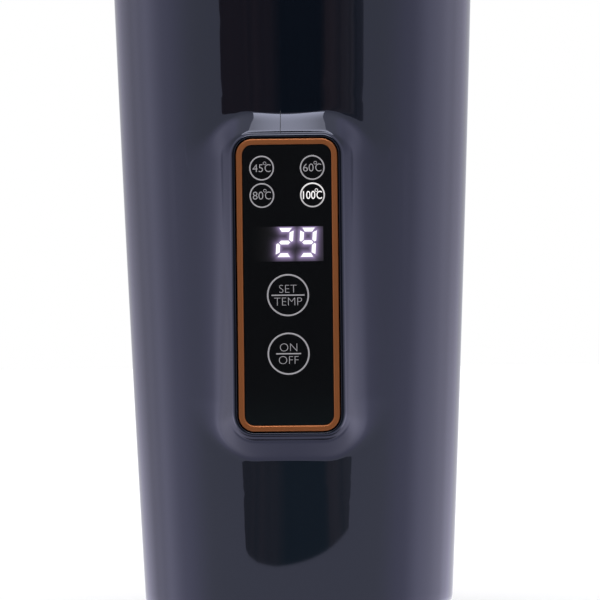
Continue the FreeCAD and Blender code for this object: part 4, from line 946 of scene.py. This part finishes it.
class KETTLE_OT_print(bpy.types.Operator):
    """Print the temperature marks and the two touch keys on the window"""
    bl_idname = "kettle.print"
    bl_label = "Print"

    def execute(self, context):
        panel = settings().panel
        colours = settings().colours
        ink = plastic("print_ink", colours.print_grey, roughness=0.45, grain_size=5000.0, relief=0.000004)
        lit = glowing("lit_ink", colours.lit, colours.print_grey, strength=0.8)
        rim = glowing("lit_ring", colours.lit, colours.print_grey, strength=RING_LIGHT[1],
                      dimmest=RING_LIGHT[0] / RING_LIGHT[1],
                      heights=(panel.mark_low_z - panel.mark_radius, panel.mark_low_z + panel.mark_radius))
        for figures, side, level in MARKS:
            shining = figures == LIT_MARK
            height = panel.mark_high_z if level == "high" else panel.mark_low_z
            across = side * panel.mark_x + panel.mark_shift
            self.mark(panel, figures, (across, height), lit if shining else ink,
                      rim if shining else ink, shining)
        self.key(panel, "key_set", "SET", "TEMP", panel.key_high_z, SET_LINE, ink)
        self.key(panel, "key_power", "ON", "OFF", panel.key_low_z, POWER_LINE, ink)
        return {"FINISHED"}

    def mark(self, panel, figures, middle, material, border, shining):
        """One temperature mark: a ring with figures, a degree sign and a C in it."""
        lit_weight, plain_weight = 0.00001, -0.000025
        degree_shift, degree_rise, degree_radius, degree_line = 0.00002, 0.57, 0.2, 0.07
        front = LENS_LOW.y
        relief = panel.relief
        high = panel.mark_figure
        weight = lit_weight if shining else plain_weight
        left, split, start, right = MARK_COLUMNS[len(figures)]
        across, level = middle
        pieces = [
            ring_print("ring", middle, panel.mark_radius, panel.mark_line, front, relief, border),
            text_print("figures", figures, (across + (left + split) / 2, level), high, weight, front, relief,
                       material, split - left),
            text_print("unit", "C", (across + (start + right) / 2, level), high, weight, front, relief,
                       material, right - start),
            ring_print("degree", (across + start - degree_shift, level + high * degree_rise),
                       high * degree_radius, high * degree_line, front, relief, material),
        ]
        joined(f"mark_{figures}", pieces)

    def key(self, panel, name, above, below, height, line, material):
        """One touch key: a ring with a word above a line and a word below it."""
        letter_shift, line_share, letter_weight = 0.73, 0.36, -0.00006
        front = LENS_LOW.y
        relief = panel.relief
        letter = panel.key_letter
        shift = letter * letter_shift
        half = line / 2
        thick = panel.key_line * line_share
        low = height - thick
        high = height + thick
        bar = [(-half, low), (half, low), (half, high), (-half, high)]
        pieces = [
            ring_print("ring", (0.0, height), panel.key_radius, panel.key_line, front, relief, material),
            text_print("above", above, (0.0, height + shift), letter, letter_weight, front, relief, material),
            text_print("below", below, (0.0, height - shift), letter, letter_weight, front, relief, material),
            flat_solid("bar", [bar], relief, front - relief, material),
        ]
        joined(name, pieces)


def digit_bars(panel):
    """Outlines of the seven bars of one digit, by letter, before the slant."""
    bevel_rise, bevel_in = 0.25, 0.4
    wide = panel.digit_width
    tall = panel.digit_height
    bar = panel.digit_bar
    gap = panel.digit_gap
    half = tall / 2
    corner = panel.digit_corner
    top = [(corner, tall), (gap + bar, tall - bar), (wide - gap - bar, tall - bar), (wide - corner, tall)]
    middle = [(bar / 2 + gap, half), (bar + gap, half - bar / 2), (wide - bar - gap, half - bar / 2),
              (wide - bar / 2 - gap, half), (wide - bar - gap, half + bar / 2), (bar + gap, half + bar / 2)]
    upright = [(0.0, tall - corner - gap), (0.0, half + gap + bar * bevel_rise), (bar * bevel_in, half + gap),
               (bar, half + bar / 2 + gap), (bar, tall - bar - gap)]

    def flipped(outline, across, down):
        return [(wide - x if across else x, tall - z if down else z) for x, z in outline]

    return {
        "a": top, "d": flipped(top, False, True), "g": middle,
        "f": upright, "b": flipped(upright, True, False),
        "e": flipped(upright, False, True), "c": flipped(upright, True, True),
    }


# The lit bars of the display's 2 and 9.
DIGITS = ("abged", "abcdfg")


class KETTLE_OT_display(bpy.types.Operator):
    """Light the two-digit display behind the window"""
    bl_idname = "kettle.display"
    bl_label = "Display"

    def execute(self, context):
        panel = settings().panel
        colours = settings().colours
        bars = digit_bars(panel)
        lean = math.tan(panel.slant)
        lit = []
        for number, letters in enumerate(DIGITS):
            left = panel.digit_x + number * panel.digit_pitch - panel.digit_width / 2
            for letter in letters:
                outline = []
                for x, z in bars[letter]:
                    rise = z - panel.digit_height / 2
                    outline.append((left + x + rise * lean, panel.digit_z + rise))
                lit.append(outline)
        digit_white = (1.0, 0.985, 1.0)
        white = glowing("digit_light", digit_white, colours.print_grey, strength=0.95)
        digits = flat_solid("display_digits", lit, panel.relief, LENS_LOW.y - panel.relief * 2, white)
        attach(digits, "kettle")
        self.glow(panel, colours, lit)
        return {"FINISHED"}

    def glow(self, panel, colours, lit):
        """The lit window: a fine grid whose points hold how strongly the bars shine there."""
        steps_x, steps_z = 120, 60
        stand, film, fade_width, fade_power = 0.6, 0.5, 0.42, 1.6
        half = panel.glow_width / 2
        points = []
        for row in range(steps_z + 1):
            for column in range(steps_x + 1):
                x = -half + panel.glow_width * column / steps_x
                z = panel.digit_z - panel.glow_drop + panel.glow_height * (row / steps_z - 0.5)
                points.append((x, LENS_LOW.y - panel.relief * stand, z))
        made = mesh_object("display_glow", points, grid_faces(steps_x, steps_z), self.glow_material(colours),
                           smooth=False, sheet=True)
        places = np.array(points)[:, (0, 2)]
        shine = np.zeros(len(points))
        for outline in lit:
            corners = np.array(outline)
            for first, second in zip(corners, np.roll(corners, -1, axis=0)):
                along = second - first
                share = np.clip(((places - first) @ along) / (along @ along), 0, 1)
                gap = np.linalg.norm(places - first - share[:, None] * along, axis=1)
                shine = np.maximum(shine, np.exp(-gap / panel.glow_spread))
        edge = np.clip((places[:, 0] + half) / (panel.glow_width * fade_width), 0, 1)[:, None] ** fade_power
        shade = edge * (np.array(colours.haze) + shine[:, None] * np.array(colours.glow))
        light = made.data.attributes.new("shine", "FLOAT_COLOR", "POINT")
        light.data.foreach_set("color", np.hstack((shade, np.ones_like(edge))).astype(np.float32).ravel())
        back = made.modifiers.new("film", "SOLIDIFY")
        back.thickness = panel.relief * film
        back.offset = -1.0
        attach(made, "kettle")

    def glow_material(self, colours):
        """The lit window's gloss black, with the light that its points hold."""
        made, tree, shader = material_of("display_glow")
        shine = node(tree, "Attribute", attribute_name="shine")
        tree.links.new(shine.outputs["Color"], shader.inputs["Emission Color"])
        shader.inputs["Emission Strength"].default_value = 1.0
        shader.inputs["Base Color"].default_value = (*colours.window, 1.0)
        shader.inputs["Roughness"].default_value = 0.12
        return made


class KETTLE_OT_panel_finish(bpy.types.Operator):
    """Finish the copper frame and the black window"""
    bl_idname = "kettle.panel_finish"
    bl_label = "Frame and window"

    def execute(self, context):
        colours = settings().colours
        copper, tree, shader = material_of("copper_frame")
        surface = use_group(tree, "moulding", Grain_size=2600.0, Wave_size=120.0)
        darkest, glossiest, dullest = 0.88, 0.34, 0.44
        darker = scaled(colours.copper, darkest)
        shade = blend_colours(tree, surface.outputs["Variation"], darker, colours.copper)
        tree.links.new(shade, shader.inputs["Base Color"])
        rough = ramp(tree, surface.outputs["Variation"], glossiest, dullest)
        tree.links.new(rough, shader.inputs["Roughness"])
        shader.inputs["Metallic"].default_value = 0.55
        bump(tree, shader, surface.outputs["Height"], distance=0.000004)
        paint(copper, "panel_trim")
        window = plastic("black_window", colours.window, roughness=0.05, grain=0.0, relief=0.000004,
                         spread=0.08)
        paint(window, "panel_lens")
        return {"FINISHED"}


class KETTLE_OT_lid(bpy.types.Operator):
    """Finish the lid, the handle and the neck"""
    bl_idname = "kettle.lid"
    bl_label = "Lid, handle and neck"

    def execute(self, context):
        colours = settings().colours
        gloss = bpy.data.materials["gloss_navy"]
        black = plastic("black_plastic", colours.black_plastic, roughness=0.42, grain_size=2500.0,
                        relief=0.00003)
        handle = plastic("handle_satin", colours.handle, roughness=0.30, grain_size=2200.0)
        silicone = plastic("dark_silicone", colours.silicone, roughness=0.62, grain_size=3000.0)
        clear = plastic("milky_silicone", (0.55, 0.55, 0.53), roughness=0.5, grain_size=1800.0,
                        Subsurface_Weight=0.2)
        steel = metal("brushed_steel", (0.62, 0.61, 0.59), roughness=0.24)
        paint(gloss, "lid_cap")
        paint(handle, "carry_handle")
        paint(black, "neck_ring", "lid_thread_ring", "lid_stopper", "base_cover", "inlet_socket",
              "light_guide")
        paint(silicone, "foot_ring", "socket_cover", "cover_anchor", "vent_plug")
        paint(clear, "lid_seal", "neck_seal")
        paint(steel, "inner_cup", "handle_pins", "base_screws", "board_screws", "control_screws",
              "touch_springs", "heater_studs", "heater_nuts", "temperature_sensor")
        return {"FINISHED"}


class KETTLE_OT_inlet(bpy.types.Operator):
    """Finish the inlet and lay a flat silicone strip between the flap and its anchor"""
    bl_idname = "kettle.inlet"
    bl_label = "Inlet"

    def execute(self, context):
        pins = metal("plated_pins", (0.78, 0.77, 0.74), roughness=0.14)
        paint(pins, "inlet_pins")
        self.hinge_web()
        return {"FINISHED"}

    def hinge_web(self):
        """A thin strip that reaches a little way over the flap and over its anchor."""
        inset, overlap, sink, thick = 0.0016, 0.0008, 0.0003, 0.0008
        steps_x, steps_z = 24, 14
        half = FLAP_HIGH.x - inset
        low = FLAP_HIGH.z - overlap
        high = ANCHOR_LOW.z + overlap
        front = ANCHOR_HIGH.y - sink
        points = []
        for depth in (0.0, thick):
            for row in range(steps_z + 1):
                for column in range(steps_x + 1):
                    z = low + (high - low) * row / steps_z
                    points.append((-half + 2 * half * column / steps_x, front - depth, z))
        wide = steps_x + 1
        layer = wide * (steps_z + 1)
        faces = []
        for quad in grid_faces(steps_x, steps_z):
            faces.append(quad[::-1])
            faces.append(tuple(index + layer for index in quad))
        border = list(range(steps_x))
        border += [row * wide + steps_x for row in range(steps_z)]
        border += [steps_z * wide + column for column in range(steps_x, 0, -1)]
        border += [row * wide for row in range(steps_z, 0, -1)]
        for index, after in zip(border, border[1:] + border[:1]):
            faces.append((index, after, after + layer, index + layer))
        web = mesh_object("flap_hinge_web", points, faces, bpy.data.materials["dark_silicone"])
        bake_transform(web)


class KETTLE_OT_insides(bpy.types.Operator):
    """Finish the heater, the boards and the wires inside"""
    bl_idname = "kettle.insides"
    bl_label = "Insides"

    def execute(self, context):
        cast = metal("cast_aluminium", (0.66, 0.67, 0.68), roughness=0.38, line_size=900.0, relief=0.00001)
        element = metal("element_metal", (0.36, 0.33, 0.30), roughness=0.42, line_size=1200.0, relief=0.00001)
        board = plastic("circuit_board", (0.018, 0.11, 0.048), roughness=0.32, grain_size=900.0,
                        relief=0.00001)
        finishes = {
            "display_module": plastic("display_face", (0.09, 0.09, 0.10), roughness=0.4),
            "indicator_leds": plastic("milky_lamp", (0.82, 0.81, 0.75), roughness=0.3, Subsurface_Weight=0.2),
            "relay": plastic("relay_case", (0.012, 0.045, 0.15), roughness=0.3),
            "film_capacitor": plastic("film_case", (0.55, 0.36, 0.05), roughness=0.28),
            "supply_capacitor": plastic("can_sleeve", (0.018, 0.018, 0.030), roughness=0.25),
            "thermal_cutout": plastic("phenolic_case", (0.08, 0.042, 0.022), roughness=0.45),
            "control_harness": plastic("signal_wire", (0.48, 0.48, 0.46), roughness=0.5),
        }
        mains = plastic("mains_wire", (0.38, 0.045, 0.038), roughness=0.5)
        paint(cast, "heat_plate", "heat_shield", "shield_spacers")
        paint(element, "heating_element")
        paint(board, "control_board", "power_board")
        paint(mains, "inlet_leads", "heater_leads")
        for name, finish in finishes.items():
            paint(finish, name)
        return {"FINISHED"}


# The softbox: its low and high edges in degrees of lift, its strength at each, and its half width in degrees.
SOFTBOX_LIFT = (31.0, 64.0)
SOFTBOX_STRENGTH = (10.5, 3.4)
SOFTBOX_HALF = 25.0
# The unlit room from left to right: shares of its width, and the light there.
ROOM_SHADES = ((0.0, (0.20, 0.10, 0.08)), (0.40, (0.16, 0.09, 0.08)), (0.46, (0.01, 0.01, 0.01)),
               (0.66, (0.01, 0.01, 0.01)), (0.70, (0.24, 0.14, 0.12)), (0.88, (0.30, 0.25, 0.25)),
               (0.92, (0.20, 0.19, 0.22)), (1.0, (0.30, 0.28, 0.32)))
# The pale room: bearings in degrees from straight ahead, positive to the right, and the light there.
ROOM_LIGHT = ((-180, 0.65), (-165, 0.62), (-146, 0.66), (-130, 0.74), (-118, 1.05), (-106, 1.42),
              (-88, 1.2), (-60, 1.0), (60, 1.0), (83, 1.08), (102, 1.42), (120, 1.31), (134, 0.97),
              (147, 0.80), (165, 0.70), (180, 0.65))
# The light that full white in the bands stands for, the tint, and the one between two bearings at each side.
ROOM_PEAK = 1.6
ROOM_TINT = (0.97, 0.97, 1.09)
SIDE_TINT = (0.99, 0.96, 1.24)
SIDE_BEARINGS = (80, 150)
# Light straight below, and the upward parts of a direction between which it gives way to the bands.
UNDER_LIGHT = 0.88
UNDER_REACH = (-0.75, -0.3)
# How much brighter the room is overhead, and where that starts and ends.
OVERHEAD_GAIN = 1.4
OVERHEAD_REACH = (0.45, 0.9)
# How much brighter the room is below the horizon, ahead and behind, and where those start and end.
BELOW_GAIN = (0.25, 1.0)
BELOW_REACH = (-0.22, 0.02)
BEHIND_REACH = (0.5, 0.85)
# The dark card on the floor, as X and Y: the points of its near edge, then its right and left corners
# at two distances.
CARD_NEAR = ((-0.078, -0.126), (-0.067, -0.1195), (-0.050, -0.116), (-0.025, -0.117), (0.104, -0.148))
CARD_FAR = ((0.212, -0.262), (-0.178, -0.254), (1.10, -1.0), (-0.99, -1.0))


class KETTLE_OT_stage(bpy.types.Operator):
    """Set up the floor, the light and the camera"""
    bl_idname = "kettle.stage"
    bl_label = "Stage"

    def execute(self, context):
        scene = context.scene
        scene.view_settings.view_transform = "Standard"
        self.world(scene)
        self.floor(settings().colours)
        self.dark_room()
        self.softbox()
        self.camera(scene, settings().stage)
        return {"FINISHED"}

    def world(self, scene):
        """A pale room with soft bands of light, tinted only for gloss. Seen directly it is white."""
        world = bpy.data.worlds.new("studio")
        world.use_nodes = True
        tree = world.node_tree
        tree.nodes.clear()
        output = node(tree, "OutputWorld")
        parts = place_parts(tree, "Generated")
        path = node(tree, "LightPath")
        ahead = math_node(tree, "MULTIPLY", parts["Y"], -1.0)
        angle = math_node(tree, "ARCTAN2", parts["X"], ahead)
        share = math_node(tree, "ADD", math_node(tree, "DIVIDE", angle, 2 * math.pi), 0.5)
        stops = []
        for degrees, light in ROOM_LIGHT:
            tint = SIDE_TINT if SIDE_BEARINGS[0] < abs(degrees) < SIDE_BEARINGS[1] else ROOM_TINT
            stops.append((degrees / 360 + 0.5, [light / ROOM_PEAK * channel for channel in tint]))
        bands = colour_bands(tree, share, stops, "EASE")
        under = [UNDER_LIGHT / ROOM_PEAK * channel for channel in SIDE_TINT]
        clear = ramp(tree, parts["Z"], 0.0, 1.0, reach=UNDER_REACH, gentle=True)
        tinted = blend_colours(tree, clear, under, bands)
        grey = node(tree, "RGBToBW")
        tree.links.new(tinted, grey.inputs["Color"])
        seen = blend_colours(tree, path.outputs["Is Glossy Ray"], grey.outputs["Val"], tinted)
        overhead = ROOM_PEAK * OVERHEAD_GAIN
        above = ramp(tree, parts["Z"], ROOM_PEAK, overhead, reach=OVERHEAD_REACH, gentle=True)
        below = ramp(tree, parts["Z"], 1.0, 0.0, reach=BELOW_REACH, gentle=True)
        gain = ramp(tree, parts["Y"], *BELOW_GAIN, reach=BEHIND_REACH, gentle=True)
        rise = math_node(tree, "MULTIPLY", below, gain)
        level = math_node(tree, "MULTIPLY", above, math_node(tree, "ADD", rise, 1.0))
        room = node(tree, "Background")
        tree.links.new(seen, room.inputs["Color"])
        tree.links.new(level, room.inputs["Strength"])
        white = node(tree, "Background", Color=(1.0, 1.0, 1.0, 1.0), Strength=1.0)
        either = node(tree, "MixShader")
        tree.links.new(path.outputs["Is Camera Ray"], either.inputs["Fac"])
        tree.links.new(room.outputs["Background"], either.inputs[1])
        tree.links.new(white.outputs["Background"], either.inputs[2])
        tree.links.new(either.outputs["Shader"], output.inputs["Surface"])
        scene.world = world

    def floor(self, colours):
        """A pale floor, with painted shade ahead, that keeps the kettle's shadow. Gloss sees past it to the
        room.
        """
        reach, drop, least_width, dullest = 3.0, -0.0003, 0.001, 0.80
        painted_shade_reach = (-0.2, 1.2)
        made, tree, shader = material_of("pale_floor")
        parts = place_parts(tree)
        wide = math_node(tree, "ADD", math_node(tree, "ABSOLUTE", parts["X"], 0.0), least_width)
        bearing = math_node(tree, "DIVIDE", math_node(tree, "MULTIPLY", parts["Y"], -1.0), wide)
        ahead = ramp(tree, bearing, 0.0, 1.0, reach=painted_shade_reach, gentle=True)
        # Painted shade: ahead of the kettle the floor's colour is darkened to a share of itself.
        shade = blend_colours(tree, ahead, colours.floor, scaled(colours.floor, dullest))
        tree.links.new(shade, shader.inputs["Base Color"])
        shader.inputs["Roughness"].default_value = 0.9
        points = [(-reach, -reach, drop), (reach, -reach, drop), (reach, reach, drop), (-reach, reach, drop)]
        floor = mesh_object("floor", points, [(0, 1, 2, 3)], made, smooth=False, sheet=True)
        floor.visible_glossy = False

    def dark_room(self):
        """A dark card on the floor that stands up behind the camera, which only gloss sees."""
        rise, lift, turn_height = 0.62, 0.0008, 0.03
        level_shade, upright_shade = (0.06, 0.13, 0.15), (0.005, 0.015, 0.02)
        made, tree, shader = material_of("dark_room")
        upright = ramp(tree, place_parts(tree)["Z"], 0.0, 1.0, reach=(lift, turn_height))
        shade = blend_colours(tree, upright, level_shade, upright_shade)
        tree.links.new(shade, shader.inputs["Base Color"])
        shader.inputs["Roughness"].default_value = 1.0
        self.room_pattern(tree, shader)
        points = [(x, y, lift) for x, y in CARD_NEAR + CARD_FAR] + [(x, y, rise) for x, y in CARD_FAR[-2:]]
        first = len(CARD_NEAR)
        faces = [tuple(range(first + 2))]
        faces += [(row + 1, row, row + 2, row + 3) for row in (first, first + 2)]
        card = mesh_object("dark_room", points, faces, made, smooth=False, sheet=True)
        self.only_in_gloss(card)

    def room_pattern(self, tree, shader):
        """Dim warm bands left and right of the dark card's middle, with faint streaks."""
        widest, faintest, strongest = 1.1, 0.2, 1.8
        parts = place_parts(tree)
        ahead = math_node(tree, "MULTIPLY", parts["Y"], -1.0)
        bearing = math_node(tree, "DIVIDE", parts["X"], ahead)
        streaks = node(tree, "TexNoise", noise_dimensions="1D", Scale=9.0, Detail=2.0)
        tree.links.new(bearing, streaks.inputs["W"])
        share = ramp(tree, bearing, 0.0, 1.0, reach=(-widest, widest))
        tree.links.new(colour_bands(tree, share, ROOM_SHADES), shader.inputs["Emission Color"])
        strength = ramp(tree, streaks.outputs["Fac"], faintest, strongest)
        tree.links.new(strength, shader.inputs["Emission Strength"])

    def softbox(self):
        """A bowed softbox high in front, dimmer towards its top, which only gloss sees."""
        reach, middle_z, steps = 0.95, 0.115, 24
        made, tree, shader = material_of("softbox")
        shader.inputs["Base Color"].default_value = (0.0, 0.0, 0.0, 1.0)
        shader.inputs["Emission Color"].default_value = (0.97, 0.97, 1.0, 1.0)
        heights = [middle_z + reach * math.sin(math.radians(lift)) for lift in SOFTBOX_LIFT]
        strength = ramp(tree, place_parts(tree)["Z"], *SOFTBOX_STRENGTH, reach=heights)
        tree.links.new(strength, shader.inputs["Emission Strength"])
        points = []
        for step in range(steps + 1):
            across = math.radians(SOFTBOX_HALF) * (2 * step / steps - 1)
            for lift, height in zip(SOFTBOX_LIFT, heights):
                level = reach * math.cos(math.radians(lift))
                points.append((level * math.sin(across), -level * math.cos(across), height))
        faces = [(index, index + 2, index + 3, index + 1) for index in range(0, 2 * steps, 2)]
        box = mesh_object("softbox", points, faces, made, sheet=True)
        self.only_in_gloss(box)

    def only_in_gloss(self, item):
        """Hide a stage piece from everything but reflections."""
        item.visible_camera = False
        item.visible_diffuse = False
        item.visible_shadow = False
        item.visible_transmission = False

    def camera(self, scene, sizes):
        """A level camera a little right of the panel's middle, rolled as the picture is."""
        sensor = 36.0
        lens = bpy.data.cameras.new("camera")
        lens.sensor_width = sensor
        lens.lens = sensor * sizes.camera_distance / sizes.picture_width
        lens.clip_start = 0.01
        eye = bpy.data.objects.new("camera", lens)
        scene.collection.objects.link(eye)
        angle = sizes.camera_azimuth
        right = Vector((math.cos(angle), math.sin(angle), 0))
        back = Vector((math.sin(angle), -math.cos(angle), 0))
        place = back * sizes.camera_distance + right * sizes.camera_aim + Vector((0, 0, sizes.camera_height))
        facing = Matrix((right, Vector((0, 0, 1)), back)).transposed().to_4x4()
        roll = Matrix.Rotation(-sizes.camera_roll, 4, "Z")
        eye.matrix_world = Matrix.Translation(place) @ facing @ roll
        scene.camera = eye


OPERATORS = (KETTLE_OT_shell, KETTLE_OT_panel_finish, KETTLE_OT_print, KETTLE_OT_display, KETTLE_OT_lid,
             KETTLE_OT_inlet, KETTLE_OT_insides, KETTLE_OT_stage)


class KETTLE_PT_sidebar(bpy.types.Panel):
    """The kettle's pieces in the order in which they are made"""
    bl_idname = "KETTLE_PT_sidebar"
    bl_label = "Kettle"
    bl_space_type = "VIEW_3D"
    bl_region_type = "UI"
    bl_category = "Kettle"

    def draw(self, context):
        for operator in OPERATORS:
            self.layout.operator(operator.bl_idname)


CLASSES = (KettleShellSizes, KettleBossSizes, KettlePrintSizes, KettleColours, KettleStageSizes,
           KettleSettings, *OPERATORS, KETTLE_PT_sidebar)


def register():
    for item in CLASSES:
        bpy.utils.register_class(item)
    bpy.types.Scene.kettle = bpy.props.PointerProperty(type=KettleSettings, name="Kettle",
                                                       description="Sizes and colours of the kettle")


def unregister():
    del bpy.types.Scene.kettle
    for item in reversed(CLASSES):
        bpy.utils.unregister_class(item)


def main():
    """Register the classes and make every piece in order."""
    register()
    for name, value in INLET_SIZES.items():
        setattr(settings().inlet, name, value)
    GROUPS.update(moulding=moulding_group(), brushing=brushing_group(), smudge=smudge_group())
    bpy.ops.kettle.shell()
    bpy.ops.kettle.panel_finish()
    bpy.ops.kettle.print()
    bpy.ops.kettle.display()
    bpy.ops.kettle.lid()
    bpy.ops.kettle.inlet()
    bpy.ops.kettle.insides()
    bpy.ops.kettle.stage()


if __name__ == "__main__":
    main()
